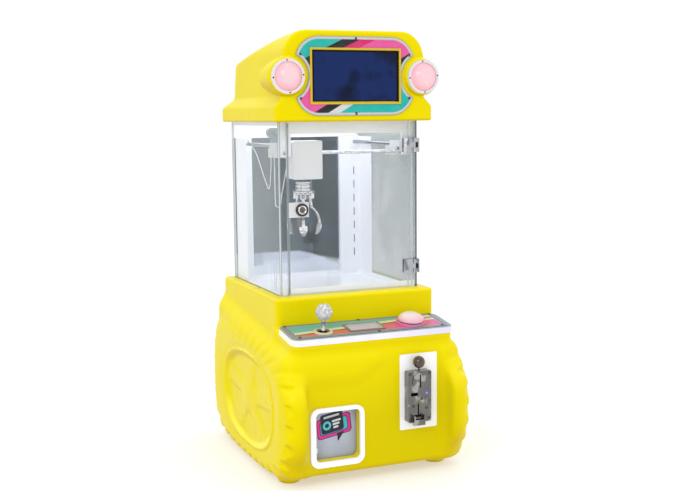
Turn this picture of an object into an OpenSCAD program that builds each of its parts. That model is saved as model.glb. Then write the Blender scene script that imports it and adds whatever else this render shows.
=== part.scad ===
// Countertop-style claw crane machine: moulded car-shaped base, glass cabin, gantry and claw, lit marquee.
// Frame: X to the viewer's right, Y towards the back, Z up; origin on the floor under the middle of the box.

/* [Base] */
// Half width of the base over the wheel pods
pod_x = 250; // [246:1:256]
// Half length of a wheel pod
pod_a = 320; // [312:1:326]
// Half height of a wheel pod
pod_b = 167; // [160:1:168]
// Front face of the base
front_y = -270; // [-272:1:-268]
// Rear face of the base
rear_y = 285; // [280:1:288]
// Half width of the upper deck block
deck_x = 215; // [212:1:220]
// Height of the deck that carries the cabin
deck_z = 446; // [444:1:450]
// Wall of the moulded shells
wall = 5; // [4:0.5:6]

/* [Cabin] */
// Half width of the cabin over its glass
cabin_x = 190; // [188:1:192]
// Height of the cabin's top edge
cabin_top = 876; // [870:1:880]
// Glass thickness
glass_t = 5; // [4:0.5:6]

/* [Control panel] */
// Depth of the control panel along its slope
panel_d = 103; // [100:1:104]
// Slope of the control panel
panel_tilt = 8.1; // [6:0.1:10]
// Height of the drop button's rim above the panel
button_up = 6.5; // [6:0.5:7]

/* [Claw] */
// Home place of the claw across the cabin
home_x = -102; // [-104:1:-98]
// Home place of the claw along the cabin
home_y = -60; // [-62:1:-58]
// Reach of an open finger
finger_r = 46; // [42:1:46]

/* [Marquee] */
// Top of the marquee
top_z = 1097; // [1090:1:1100]
// Height of the lamp centres
lamp_z = 985; // [980:1:990]
// Half spacing of the lamps
lamp_x = 180; // [178:1:182]

/* [Hidden] */
$fn = 64;

yellow = "#f4df10";
chrome = "#c8ccd2";
white = "#f4f6fa";
grey = "#d6dade";
black = "#24262a";
clear = [0.80, 0.88, 0.90, 0.35];
glow = "#ffffff";

// running clearance of a shaft in its bore
run = 0.05;

// base levels
shoulder_x = 238;
shoulder_front = 323;
shoulder_back = 389;
pod_cz = 174;
pod_in_x = 176;
base_bottom = 25;
deck_front = -160;
deck_back = 280;

// control panel, in its own sloped frame: x across, y back, z out of the panel
panel_x = 206;
panel_back_y = deck_front;
panel_back_z = 380.5;
stick_pos = [-120, -67];
button_pos = [122, -56];
button_r = 33;
gimbal_z = -34;
window = [-56, -86, 40, -32];

// cabin
cab_front = -117;
cab_back = 257;
glass_in_x = cabin_x - glass_t;
door_left = -163.5;
door_right = 177;
hinge_axis = [181, -119.5];
hinge_z = [483, 796];
hinge_h = 36;
lock_pos = [-131, 659.5];
tray_z = 436;
tray_x = 180;
tray_y0 = -107;
tray_y1 = 247;

// prize opening and chute
open_x0 = -160;
open_x1 = -45;
open_z0 = 62;
open_z1 = 184;
recess_d = 23;
flap_axis = [front_y + recess_d + 7, 190];
chute_x0 = -174;
chute_x1 = -27;
fence_x = -22;
fence_y = -10;
fence_top = 517;

// coin unit
coin_x0 = 76.5;
coin_x1 = 139.5;
coin_z0 = 137;
coin_z1 = 265;
coin_front = front_y - 24;
knob_pos = [108, front_y - 18.5, 287];

// gantry
rail_x = 168;
rail_z = 816;
rod_z = 798;
rod_dy = 18;
rod_r = 4;
cover_x = [home_x - 43, home_x + 38.5];
cover_y = [home_y - 40, home_y + 10];
cover_z = [733, 829];
truck_x = [-179.6, -147];
truck_y = [home_y - 24, home_y + 44];
drum_z = 757;
drum_r = 10;
hub_z = 688;
finger_pivot_r = 18;
finger_angles = [127, 247, 7];
finger_arc_z = 618;

// marquee
mq_bottom = 876;
mq_front = -161;
mq_back = 279;
mq_flange_x = 211;
mq_neck_x = 188;
mq_neck_z = 942;
mq_corner_r = 67;
mq_rear_top = 1031;
mq_rear_y = 222;
mq_wall = 4;

// rear service door
rdoor_x = 128;
rdoor_z0 = 72;
rdoor_z1 = 308;
rhinge = [-133.5, rear_y + 5];
inlet_x = 150;

// ---------- helpers ----------
module span(x0, x1, y0, y1, z0, z1)
    translate([x0, y0, z0]) cube([x1 - x0, y1 - y0, z1 - z0]);

// rectangle with round corners, as points
function rrect(x0, x1, y0, y1, r, n = 6) = concat(
    [for (i = [0:n]) [x1 - r + r * cos(90 * i / n), y1 - r + r * sin(90 * i / n)]],
    [for (i = [0:n]) [x0 + r - r * sin(90 * i / n), y1 - r + r * cos(90 * i / n)]],
    [for (i = [0:n]) [x0 + r - r * cos(90 * i / n), y0 + r - r * sin(90 * i / n)]],
    [for (i = [0:n]) [x1 - r + r * sin(90 * i / n), y0 + r - r * cos(90 * i / n)]]);

module rplate(x0, x1, y0, y1, r, h) linear_extrude(h) polygon(rrect(x0, x1, y0, y1, r));

// outline in X and Z, extruded along +Y from y0 to y1
module along_y(y0, y1) translate([0, y1, 0]) rotate([90, 0, 0]) linear_extrude(y1 - y0) children();

// outline in Y and Z, extruded along +X from x0 to x1
module along_x(x0, x1) translate([x0, 0, 0]) rotate([90, 0, 90]) linear_extrude(x1 - x0) children();

module rod_x(x0, x1, y, z, r) translate([x0, y, z]) rotate([0, 90, 0]) cylinder(h = x1 - x0, r = r);

module rod_y(y0, y1, x, z, r) translate([x, y1, z]) rotate([90, 0, 0]) cylinder(h = y1 - y0, r = r);

module rod_z(z0, z1, x, y, r) translate([x, y, z0]) cylinder(h = z1 - z0, r = r);

module both_sides() {
    children();
    mirror([1, 0, 0]) children();
}

module on_panel() translate([0, panel_back_y, panel_back_z]) rotate([panel_tilt, 0, 0]) children();

module at_stick() on_panel() translate([stick_pos[0], stick_pos[1], 0]) children();

module at_button() on_panel() translate([button_pos[0], button_pos[1], 0]) children();

function sgn_pow(v, p) = sign(v) * pow(abs(v), p);

// rounded outline; its upper half grows towards +Y by the given share per mm
function superellipse(a, b, n = 3.7, grow = 0.0007, steps = 56) = [
    for (i = [0:steps - 1])
        let (t = 360 * i / steps, u = a * sgn_pow(cos(t), 2 / n), v = b * sgn_pow(sin(t), 2 / n))
        [u, v > 0 ? v * (1 + grow * u) : v]];

module pod_slice(x0, x1, inset)
    along_x(x0, x1) translate([0, pod_cz]) polygon(superellipse(pod_a - inset, pod_b - inset));

// ---------- base ----------
module pods() both_sides() {
    pod_slice(pod_in_x, 234, 0);
    pod_slice(234, 243, 3);
    pod_slice(243, pod_x, 12);
}

module pod_hollows() both_sides() difference() {
    pod_slice(pod_in_x + wall, pod_x - 8, wall + 3);
    along_x(shoulder_x - wall, pod_x) translate([0, pod_cz]) polygon(superellipse(168, 122, 2.6, 0));
}

module rim_dish() both_sides()
    along_x(shoulder_x, pod_x + 1) translate([0, pod_cz]) polygon(superellipse(160, 114, 2.6, 0));

// lower body, whose top slopes up towards the back; d insets it for the hollow
module lower_body(d) hull() {
    lower_slice(shoulder_x - d, d + 25, d);
    lower_slice(shoulder_x - 12 - d, d, d);
}

module lower_slice(half, drop, d) along_x(-half, half) polygon([
    [front_y + d, base_bottom + d], [rear_y - d, base_bottom + d],
    [rear_y - d, shoulder_back - drop], [front_y + d, shoulder_front - drop]]);

module base_shell() color(yellow) difference() {
    union() {
        pods();
        lower_body(0);
        translate([0, 0, shoulder_front])
            rplate(-deck_x, deck_x, deck_front, deck_back, 18, deck_z - shoulder_front);
        on_panel() translate([0, 0, -42]) rplate(-panel_x, panel_x, -panel_d - 2, 20, 12, 42 - 3);
        for (x = [-200, 200], y = [-192, 200]) rod_z(5, 60, x, y, 30);
    }
    rim_dish();
    pod_hollows();
    // one hollow through the lower block and the deck block
    lower_body(wall);
    translate([0, 0, shoulder_front - 20])
        rplate(wall - deck_x, deck_x - wall, deck_front + wall, deck_back - wall, 14,
            deck_z - shoulder_front + 14);
    // opening under the control panel, joined to the deck block's hollow below the panel
    on_panel() translate([0, 0, -60]) rplate(-panel_x + 14, panel_x - 14, -panel_d + 4.5, -8, 6, 70);
    on_panel() translate([0, 0, -60]) rplate(-panel_x + 14, panel_x - 14, -panel_d + 4.5, 30, 6, 50);
    span(-tray_x, tray_x, tray_y0, tray_y1, deck_z - wall - 5, deck_z + 1);
    along_y(front_y - 1, front_y + wall + 1) polygon(rrect(open_x0, open_x1, open_z0, open_z1, 12));
    span(82, 134, front_y - 1, front_y + wall + 1, 141, 256);
    span(-118, 118, rear_y - wall - 1, rear_y + 1, 82, 298);
    for (x = [130, 146, 162], i = [0:3])
        span(x, x + 8, rear_y - 6, rear_y + 1, 150 + 30 * i, 170 + 30 * i);
    span(inlet_x - 14, inlet_x + 14, rear_y - 6, rear_y + 1, 98, 122);
}

// the moulded recess that the flap sits behind
module recess_collar() color(yellow) difference() {
    along_y(front_y + wall, front_y + recess_d)
        polygon(rrect(open_x0 - 4, open_x1 + 4, open_z0 - 4, open_z1 + 4, 14));
    along_y(front_y, front_y + recess_d + 1) polygon(rrect(open_x0, open_x1, open_z0, open_z1, 12));
}

module foot_pads() color(black)
    for (x = [-200, 200], y = [-192, 200]) rod_z(0, 5, x, y, 24);

// ---------- control panel ----------
module control_panel() color("#9fd2cc") on_panel() difference() {
    translate([0, 0, -3]) rplate(-panel_x, panel_x, -panel_d, -0.6, 10, 3);
    translate([stick_pos[0], stick_pos[1], -4]) cylinder(h = 5, r = 17);
    translate([button_pos[0], button_pos[1], -4]) cylinder(h = 5, r = 29.3);
    translate([0, 0, -4]) span(window[0] + 6, window[2] - 6, window[1] + 6, window[3] - 6, 0, 5);
    for (p = panel_screw_places) translate([p[0], p[1], -4]) cylinder(h = 5, r = 1.7);
}

panel_screw_places = [[-198, -8], [0, -5], [198, -8], [-190, -95], [16, -98], [190, -95]];

module panel_light_strip() color(glow) on_panel() translate([0, 0, -16]) difference() {
    rplate(-panel_x - 9, panel_x + 9, -panel_d - 11, -1, 20, 15.5);
    translate([0, 0, -1]) rplate(-panel_x - 0.3, panel_x + 0.3, -panel_d - 2.3, 30, 12, 18);
}

// one pan-head screw at the origin, head up
module pan_screw(shank) {
    rod_z(-shank, 0, 0, 0, 1.7);
    intersection() {
        translate([0, 0, -2]) sphere(r = 4.6);
        rod_z(0, 3, 0, 0, 4.2);
    }
}

plate_screw_places = [
    [0, 1077], [0, 895], [-145.5, 1037], [145.5, 1037], [-145.5, 933], [145.5, 933]];
coin_screw_places = [[81.5, 259.5], [134, 258.5], [81.5, 145], [133, 145], [90, 179], [126, 172], [113, 196]];

module pan_screws() color("#3c3e44") {
    on_panel() for (p = panel_screw_places) translate([p[0], p[1], 0]) pan_screw(3);
    for (p = coin_screw_places) translate([p[0], coin_front, p[1]]) rotate([90, 0, 0]) pan_screw(2.4);
    for (p = plate_screw_places) translate([p[0], mq_front - 3, p[1]]) rotate([90, 0, 0]) pan_screw(3);
    for (s = [-1, 1], a = [5:90:360])
        translate([s * lamp_x + 38.5 * cos(a), mq_front - 15, lamp_z + 38.5 * sin(a)])
            rotate([90, 0, 0]) scale(0.5) pan_screw(6);
}

// ---------- joystick ----------
module joystick_housing() color(black) at_stick() difference() {
    union() {
        span(-45, 45, -30, 30, -6, -3);
        span(-30, 30, -30, 30, -54, -6);
    }
    span(-26, 26, -26, 26, -55, -6.5);
    rod_z(-10, 1, 0, 0, 17);
    rod_x(-31, 31, 0, gimbal_z, 3);
}

module joystick_collar() color("#efe6cf") at_stick() difference() {
    rotate_extrude() polygon([[16.5, 0], [24.5, 0], [23.5, 1.6], [19.5, 3], [16.5, 3]]);
    translate([0, 0, -1]) cylinder(h = 6, r = 16.5);
}

module joystick_gimbal() color(grey) at_stick() {
    difference() {
        span(-20, 20, -20, 20, gimbal_z - 5, gimbal_z + 5);
        span(-13, 13, -15, 15, gimbal_z - 6, gimbal_z + 6);
        rod_y(-21, 21, 0, gimbal_z, 2.5);
    }
    for (s = [-1, 1]) rod_x(s > 0 ? 20 : -30, s > 0 ? 30 : -20, 0, gimbal_z, 3 - run);
}

module joystick_shaft() color(chrome) at_stick() {
    rod_z(-56, 34, 0, 0, 4);
    rod_y(-20, 20, 0, gimbal_z, 2.5 - run);
    rod_z(-56, -50, 0, 0, 9);
}

module joystick_ball() color(clear) at_stick() difference() {
    translate([0, 0, 50]) sphere(r = 21);
    rod_z(20, 34, 0, 0, 4);
}

// ---------- display and button ----------
module display_unit() color("#c9c6dd") on_panel() {
    difference() {
        translate([0, 0, 0]) rplate(window[0], window[2], window[1], window[3], 3, 2);
        translate([0, 0, -1]) rplate(window[0] + 9, window[2] - 9, window[1] + 9, window[3] - 9, 1, 4);
    }
    span(window[0] + 9, window[2] - 9, window[1] + 9, window[3] - 9, -12, 0.8);
}

module button_housing() color("#f7c9d6") at_button() difference() {
    union() {
        rod_z(0, 4.5, 0, 0, 37);
        rod_z(-40, 0, 0, 0, 29);
    }
    rod_z(1, 5, 0, 0, button_r + 0.6);
    rod_z(-36, 2, 0, 0, 26.5);
    rod_z(-41, -35, 0, 0, 8 + run);
}

module button_dome() color("#fbe9ee") at_button() {
    difference() {
        union() {
            rod_z(button_up, 12, 0, 0, button_r);
            translate([0, 0, 12]) intersection() {
                translate([0, 0, -11]) sphere(r = 34.8);
                rod_z(0, 25, 0, 0, button_r);
            }
        }
        rod_z(6, 10, 0, 0, button_r - 3);
        translate([0, 0, 10]) intersection() {
            translate([0, 0, -10]) sphere(r = 31.5);
            rod_z(-0.5, 24, 0, 0, button_r - 3);
        }
    }
    rod_z(-42, 33, 0, 0, 8);
}

// ---------- playfield ----------
module playfield_tray() color(white) difference() {
    union() {
        span(0.4 - tray_x, tray_x - 0.4, tray_y0 + 0.4, tray_y1 - 0.4, tray_z - 2, deck_z + 1.5);
        span(-184.6, 184.6, -111.4, 251.4, deck_z, deck_z + 1.5);
        span(-184.6, 184.6, -111.4, -109.4, deck_z, deck_z + 16);
    }
    span(3 - tray_x, tray_x - 3, tray_y0 + 3, tray_y1 - 3, tray_z, deck_z + 2);
    span(chute_x0 + 2, chute_x1 - 2, tray_y0 + 5, fence_y - 4, tray_z - 3, tray_z + 1);
}

module chute_fence() color(clear) {
    span(fence_x, fence_x + 3, tray_y0 + 3.2, fence_y, tray_z, fence_top);
    span(3.2 - tray_x, fence_x, fence_y - 3, fence_y, tray_z, fence_top);
}

// ---------- prize outlet ----------
module prize_chute() color(grey) {
    t = 1.5;
    x0 = chute_x0;
    x1 = chute_x1;
    back = fence_y - 2;
    drop_top = tray_z - 2.2;
    front = front_y + recess_d + 0.6;
    difference() {
        union() {
            for (x = [x0, x1 - t]) {
                span(x, x + t, -110, back, 190, drop_top);
                along_x(x, x + t) polygon([
                    [front, 54], [-150, 54], [back, 168], [back, 200], [front, 200]]);
            }
            span(x0, x1, back - t, back, 168, drop_top);
            span(x0, x1, -110, -110 + t, 198, drop_top);
            span(x0, x1, front, -110, 198, 198 + t);
            along_x(x0, x1) polygon([
                [front, 54], [-150, 54], [back, 168], [back - 1, 169.6], [-150.5, 55.6], [front, 55.6]]);
        }
        rod_x(x0 - 1, x1 + 1, flap_axis[0], flap_axis[1], 2.5);
    }
}

module prize_flap() color([0.72, 0.71, 0.80, 0.6]) difference() {
    union() {
        span(open_x0 - 5, open_x1 + 5, flap_axis[0] - 4, flap_axis[0], 58.5, flap_axis[1]);
        rod_x(open_x0 - 5, open_x1 + 5, flap_axis[0], flap_axis[1], 5);
    }
    rod_x(open_x0 - 6, open_x1 + 6, flap_axis[0], flap_axis[1], 2.5 + run);
}

module flap_hinge_rod() color(chrome)
    rod_x(chute_x0 - 2, chute_x1 + 2, flap_axis[0], flap_axis[1], 2.5);

module prize_light_frame() color(glow) {
    difference() {
        along_y(front_y - 7, front_y)
            polygon(rrect(open_x0 - 14, open_x1 + 11, open_z0 - 14, open_z1 + 10, 22));
        along_y(front_y - 8, front_y + 1)
            polygon(rrect(open_x0 - 0.5, open_x1 + 0.5, open_z0 - 0.5, open_z1 + 0.5, 12));
    }
}

// ---------- coin unit ----------
module coin_backplate() color(white) difference() {
    along_y(front_y - 2, front_y) polygon(rrect(64, 166, 115, 305, 3));
    span(82, 134, front_y - 3, front_y + 1, 141, 256);
}

module coin_faceplate() color("#77787c") difference() {
    union() {
        along_y(coin_front, front_y - 2) polygon(rrect(coin_x0, coin_x1, coin_z0, coin_z1, 4));
        along_y(coin_front - 2, coin_front) polygon(rrect(88, 131, 217, 262, 20));
        // scoop that hands coins back
        span(87, 117, coin_front - 12, coin_front, 132, 135);
        span(87, 90, coin_front - 12, coin_front, 132, 156);
        span(114, 117, coin_front - 12, coin_front, 132, 156);
        span(87, 117, coin_front - 12, coin_front - 9, 132, 146);
    }
    span(coin_x0 + 2.5, coin_x1 - 2.5, coin_front + 2.4, front_y, coin_z0 + 2.5, coin_z1 - 2.5);
    span(106.7, 110.3, coin_front - 3, coin_front + 3, 224, 257);
    span(102, 105.6, coin_front - 3, coin_front + 3, 156, 184);
    span(92, 112, coin_front - 1, coin_front + 3, 136, 156);
    along_y(coin_front - 1, coin_front + 3) polygon(rrect(83, 103, 203.5, 212, 4));
    rod_y(coin_front - 1, coin_front + 3, 126.5, 209, 2.5);
    for (p = coin_screw_places) rod_y(coin_front - 3, coin_front + 3, p[0], p[1], 1.7);
    rod_z(coin_z1 - 4, coin_z1 + 1, knob_pos[0], knob_pos[1], 2.5 + run);
}

module coin_validator() color("#3a6fb0") difference() {
    span(84, 132, front_y + 0.5, -190, 143, 254);
    span(106, 111, front_y, -200, 170, 255);
    span(100, 118, -255, -205, 142, 180);
}

module coin_knob() color(chrome) {
    translate(knob_pos) sphere(r = 15);
    rod_z(232, knob_pos[2] - 14.5, knob_pos[0], knob_pos[1], 2.5);
    rod_z(232, 236, knob_pos[0], knob_pos[1], 2.9);
}

module cash_box() color("#9aa0a8") difference() {
    span(62, 158, -238, -80, base_bottom + wall + 3, 118);
    span(64, 156, -236, -82, base_bottom + wall + 5, 119);
}

// ---------- cabin ----------
// folded post in a rear corner, as wide as its inner edge leaves it, with a row of slots
module rear_post(inner) difference() {
    union() {
        span(-184.4, -inner, 241, 243, deck_z + 1.5, 831);
        span(-184.4, -182.4, 155, 243, deck_z + 1.5, 831);
        span(-inner - 2, -inner, 243, 251.5, deck_z + 1.5, 831);
    }
    for (i = [0:6]) span(-169, -166, 240, 244, 488 + 39 * i, 510 + 39 * i);
}

module rear_posts() color(white) {
    rear_post(139);
    mirror([1, 0, 0]) rear_post(123);
}

module back_mirror() color("#5c6870") span(-184.4, 184.4, 251.8, 256, deck_z, 831);

module side_glasses() color(clear) {
    span(-cabin_x, -glass_in_x, cab_front, cab_back, deck_z, cabin_top);
    span(glass_in_x, cabin_x, cab_front + 2, cab_back, deck_z, cabin_top);
    // fixed strip beside the door, a hair clear of the left pane
    span(0.1 - glass_in_x, -164.5, cab_front, cab_front + glass_t, deck_z, cabin_top);
}

module header_frame() color(white) {
    t = 3;
    for (x = [-184.6, 181.6]) span(x, x + t, -102, 251, 866, cabin_top);
    span(-184.6, 184.6, 251, 254, 832, cabin_top);
    difference() {
        union() {
            span(-184.6, 184.6, -105, -102, 846, cabin_top);
            for (x = [-181, 151]) span(x, x + 30, -105, -102, 790, 846);
        }
        for (x = [-rail_x, rail_x]) rod_y(-106, -101, x, 800, 5);
    }
    for (x = [-182, 152]) span(x, x + 30, 238, 240.6, 800, 832);
    for (x = [-182, 152]) span(x, x + 30, 238, 251, 832, 835);
}

module ceiling_panel() color(glow) span(-181.4, 181.4, -101.8, 250.8, cabin_top - 3.4, cabin_top - 0.4);

module side_rails() color(chrome)
    for (x = [-rail_x, rail_x]) rod_y(-102, 238, x, rail_z, 5);

// ---------- gantry ----------
module bridge_trucks() color(grey) both_sides() difference() {
    union() {
        span(truck_x[0], truck_x[1], truck_y[0], truck_y[1], 787, 811);
        span(-178, -158, home_y - 20, home_y + 40, 811, 824);
    }
    rod_y(home_y - 25, truck_y[1] + 1, -rail_x, rail_z, 5 + run);
    for (s = [-1, 1]) rod_x(-165, truck_x[1] + 1, home_y + s * rod_dy, rod_z, rod_r);
}

module bridge_rods() color(chrome)
    for (s = [-1, 1]) rod_x(-165, 165, home_y + s * rod_dy, rod_z, rod_r);

module bridge_motor() color("#7f8c92") {
    rod_y(home_y + 34, home_y + 60, -167, 849, 12.5);
    span(-178, -156, home_y + 27, home_y + 34, 824, 861);
    rod_y(home_y + 22, home_y + 27, -167, 849, 4);
}

module hoist_frame() color("#b9bec4") {
    difference() {
        span(home_x - 31, home_x + 31, home_y - 28, home_y + 28, 789, 807);
        for (s = [-1, 1]) rod_x(home_x - 32, home_x + 32, home_y + s * rod_dy, rod_z, rod_r + run);
    }
    difference() {
        union() {
            for (x = [home_x - 26, home_x + 23]) span(x, x + 3, home_y - 20, home_y + 30, 736, 789);
            span(home_x - 26, home_x + 26, home_y - 20, home_y + 30, 734, 737);
        }
        rod_x(home_x - 27, home_x + 27, home_y + drum_r, drum_z, 3);
        rod_z(733, 738, home_x, home_y, 4);
    }
    rod_x(home_x - 12, home_x + 23, home_y - 9, 778, 11);
    // stay that carries the cover
    span(home_x - 10, home_x + 10, cover_y[0] + 2, home_y - 28, 794, 802);
}

// moulded cover with round edges, open below and behind
module hoist_cover() color(grey) difference() {
    intersection() {
        translate([0, 0, cover_z[0]])
            rplate(cover_x[0], cover_x[1], cover_y[0], cover_y[1] + 10, 6, cover_z[1] - cover_z[0]);
        along_y(cover_y[0], cover_y[1]) polygon(rrect(cover_x[0], cover_x[1], cover_z[0], cover_z[1], 6));
    }
    translate([0, 0, cover_z[0] - 1])
        rplate(cover_x[0] + 2, cover_x[1] - 2, cover_y[0] + 2, cover_y[1] + 20, 4,
            cover_z[1] - cover_z[0] - 1);
    rod_x(cover_x[0] - 1, cover_x[1] + 1, home_y - rod_dy, rod_z, 6);
}

module winch_drum() color(black) {
    rod_x(home_x - 26, home_x + 26, home_y + drum_r, drum_z, 3 - run);
    rod_x(home_x - 9, home_x + 9, home_y + drum_r, drum_z, drum_r - 1.2);
    for (x = [home_x - 11, home_x + 9]) rod_x(x, x + 2, home_y + drum_r, drum_z, 15);
}

module hoist_cord() color(white) rod_z(728.2, 752, home_x, home_y, 0.9);

// ---------- claw ----------
module at_claw(a) translate([home_x, home_y, 0]) rotate([0, 0, a]) children();

module claw_body() color(chrome) {
    translate([home_x, home_y, 0]) rotate_extrude() polygon([
        [5, hub_z + 5], [20, hub_z + 5], [20, 697], [27, 697], [28, 698], [28, 702], [27, 703], [21, 703],
        [21, 708], [18.5, 709], [18.5, 711], [21, 712], [21, 717], [18.5, 718], [18.5, 720], [21, 721],
        [21, 725], [18, 728], [0, 728], [0, 724], [5, 722]]);
    for (a = finger_angles) at_claw(a) {
        for (s = [-1, 1]) span(13, 26, s > 0 ? 4.3 : -7.3, s > 0 ? 7.3 : -4.3, hub_z - 6, hub_z + 8);
        rod_y(-7.3, 7.3, finger_pivot_r, hub_z, 1.5);
    }
}

module claw_plunger() color(chrome) {
    rod_z(652, 697, home_x, home_y, 3.5);
    rod_z(652, 658, home_x, home_y, 9);
}

// outline of a finger's round part, in X and Z
module finger_arc() difference() {
    translate([finger_r - 50, finger_arc_z]) circle(r = 50);
    translate([finger_r - 50, finger_arc_z]) circle(r = 47);
    translate([-80, 540]) square([100, 200]);
    translate([-80, 500]) square([200, 93]);
}

// straight arm, round claw, and a wider scoop that tapers to the tip
module finger(a) color(chrome) at_claw(a) difference() {
    union() {
        along_y(-4, 4) {
            finger_arc();
            polygon([[16, hub_z - 1], [20, hub_z], [23.5, 660], [20, 657.5]]);
            polygon([[36.8, 596], [40.5, 594], [33.5, 589.5]]);
        }
        intersection() {
            along_y(-10, 10) finger_arc();
            along_x(20, 60) polygon([[-10, 617], [10, 617], [10, 605], [5, 593], [-5, 593], [-10, 605]]);
        }
        rod_y(-4, 4, finger_pivot_r, hub_z, 4);
    }
    rod_y(-5, 5, finger_pivot_r, hub_z, 1.5 + run);
}

module claw_finger_1() finger(finger_angles[0]);
module claw_finger_2() finger(finger_angles[1]);
module claw_finger_3() finger(finger_angles[2]);

// ---------- looms ----------
function lerp(p, q, t) = p + (q - p) * t;
function ring_at(pts, i, r, n, ax) =
    let (a = pts[max(i - 1, 0)], b = pts[min(i + 1, len(pts) - 1)], d = (b - a) / norm(b - a),
         u = cross(d, ax) / norm(cross(d, ax)), v = cross(d, u))
    [for (k = [0:n - 1]) pts[i] + r * (cos(360 * k / n) * u + sin(360 * k / n) * v)];
module tube(pts, r, n, ax) {
    m = len(pts);
    points = [for (i = [0:m - 1]) each ring_at(pts, i, r, n, ax)];
    sides = [for (i = [0:m - 2], k = [0:n - 1])
        [i * n + k, i * n + (k + 1) % n, (i + 1) * n + (k + 1) % n, (i + 1) * n + k]];
    first_cap = [for (k = [0:n - 1]) n - 1 - k];
    last_cap = [for (k = [0:n - 1]) (m - 1) * n + k];
    polyhedron(points, concat([first_cap], sides, [last_cap]));
}

loom_x = -182.8;
rail_loom_route = [for (p = [
    [142, 828], [122, 818], [98, 809], [76, 798], [54, 780], [34, 760], [14, 740], [-4, 723],
    [-16, 712], [-24, 708], [-31, 711], [-37, 724], [-42, 748], [-46, 774], [-49, 800]])
    [loom_x, p[0], p[1]]];
hoist_loom_route = [
    [-172, -40, 787], [-172, -41, 762], [-172.4, -42, 734], [-172.4, -43, 706], [-171.4, -44, 682],
    [-168.8, -44, 666], [-165.4, -44, 660.5], [-161.8, -44, 666], [-158, -44, 682], [-153.6, -44, 702],
    [-149, -44, 722], [-145, -44, 742], [-141, -44, 762], [-137.5, -45, 780], [-135.4, -48, 792]];

module rail_loom() color(white) tube(rail_loom_route, 1.4, 8, [1, 0, 0]);

module hoist_loom() color(white) tube(hoist_loom_route, 1.6, 8, [0, 1, 0]);

// ---------- glass door ----------
module at_hinges() for (z = hinge_z) translate([hinge_axis[0], hinge_axis[1], z]) children();

module hinge_mounts() color(chrome) at_hinges() {
    rod_z(0, hinge_h, 0, 0, 2);
    difference() {
        union() {
            for (z = [0, 25]) rod_z(z, z + 11, 0, 0, 4);
            for (z = [0, 25]) span(0, 12.6, -3.4, 3.4, z, z + 11);
            span(9.2, 12.6, -3.4, 26, 0, hinge_h);
            span(0.2, 3.8, 12, 26, 0, hinge_h);
        }
        rod_z(-1, hinge_h + 1, 0, 0, 2);
    }
}

module door_glass() color(clear) difference() {
    span(door_left, door_right, cab_front, cab_front + glass_t, deck_z + 3, cabin_top - 3);
    rod_y(cab_front - 1, cab_front + glass_t + 1, lock_pos[0], lock_pos[1], 9);
}

module door_hinges() color(chrome) at_hinges() difference() {
    union() {
        rod_z(11.3, 24.7, 0, 0, 4);
        span(-8, 0, -2, 2.4, 11.3, 24.7);
        span(-30, -5.4, -2, 2.45, 0, hinge_h);
        span(-30, -6.5, 7.55, 11, 0, hinge_h);
    }
    rod_z(-1, hinge_h + 1, 0, 0, 2 + run);
}

module door_lock_case() color(white) translate([lock_pos[0], 0, lock_pos[1]]) difference() {
    union() {
        span(-33, 19, cab_front - 5, cab_front, -18.5, 18.5);
        span(-33, 19, cab_front + glass_t, cab_front + glass_t + 4, -18.5, 18.5);
        rod_y(cab_front - 9, cab_front - 5, 0, 0, 16);
    }
    rod_y(cab_front - 10, cab_front + 10, 0, 0, 7 + run);
}

module door_lock_plug() color(black) translate([lock_pos[0], 0, lock_pos[1]]) {
    difference() {
        rod_y(cab_front - 11, cab_front + 11, 0, 0, 7);
        span(-0.8, 0.8, cab_front - 12, cab_front - 7, -3.5, 3.5);
    }
    span(-5, 5, cab_front + 9.4, cab_front + 11.4, -44, 5);
}

// ---------- marquee ----------
function s_curve(x0, x1, z0, z1, n) =
    [for (i = [0:n]) let (t = i / n) [lerp(x0, x1, (1 - cos(180 * t)) / 2), lerp(z0, z1, t)]];
function arc(cx, cz, r, a0, a1, n) =
    [for (i = [0:n]) let (a = a0 + (a1 - a0) * i / n) [cx + r * cos(a), cz + r * sin(a)]];
function half_front(d) = concat(
    [[mq_flange_x - d, mq_bottom], [mq_flange_x - d, 904]],
    s_curve(mq_flange_x - d, mq_neck_x - d, 908, mq_neck_z, 6),
    arc(mq_neck_x - mq_corner_r, top_z - mq_corner_r, mq_corner_r - d, 0, 90, 8));
function front_outline(d) = concat(half_front(d),
    [for (i = [len(half_front(d)) - 1:-1:0]) [-half_front(d)[i][0], half_front(d)[i][1]]]);
function side_outline(d) = concat(
    [[mq_front + d, mq_bottom], [mq_back - d, mq_bottom], [mq_back - d, 903]],
    s_curve(mq_back - d, mq_rear_y + 15 - d, 907, mq_neck_z, 6),
    [[mq_rear_y - d, mq_rear_top - 12 - d], [mq_rear_y - 14 - d, mq_rear_top - d],
     [mq_front + 6 + d, top_z - d], [mq_front + d, top_z - 6 - d]]);

module marquee_solid(d) intersection() {
    along_y(mq_front - 1, mq_back + 1) polygon(front_outline(d));
    along_x(-mq_flange_x - 1, mq_flange_x + 1) polygon(side_outline(d));
}

// stepped bucket moulded behind each lamp
module lamp_bucket(d) for (s = [-1, 1]) translate([s * lamp_x, mq_front - 7, lamp_z]) rotate([-90, 0, 0])
    rotate_extrude() polygon([
        [0, d], [46 - d, d], [46 - d, 34], [43 - d, 38], [43 - d, 62], [38 - d, 66], [38 - d, 90],
        [31 - d, 94], [31 - d, 122 - d], [0, 140 - d]]);

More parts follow.
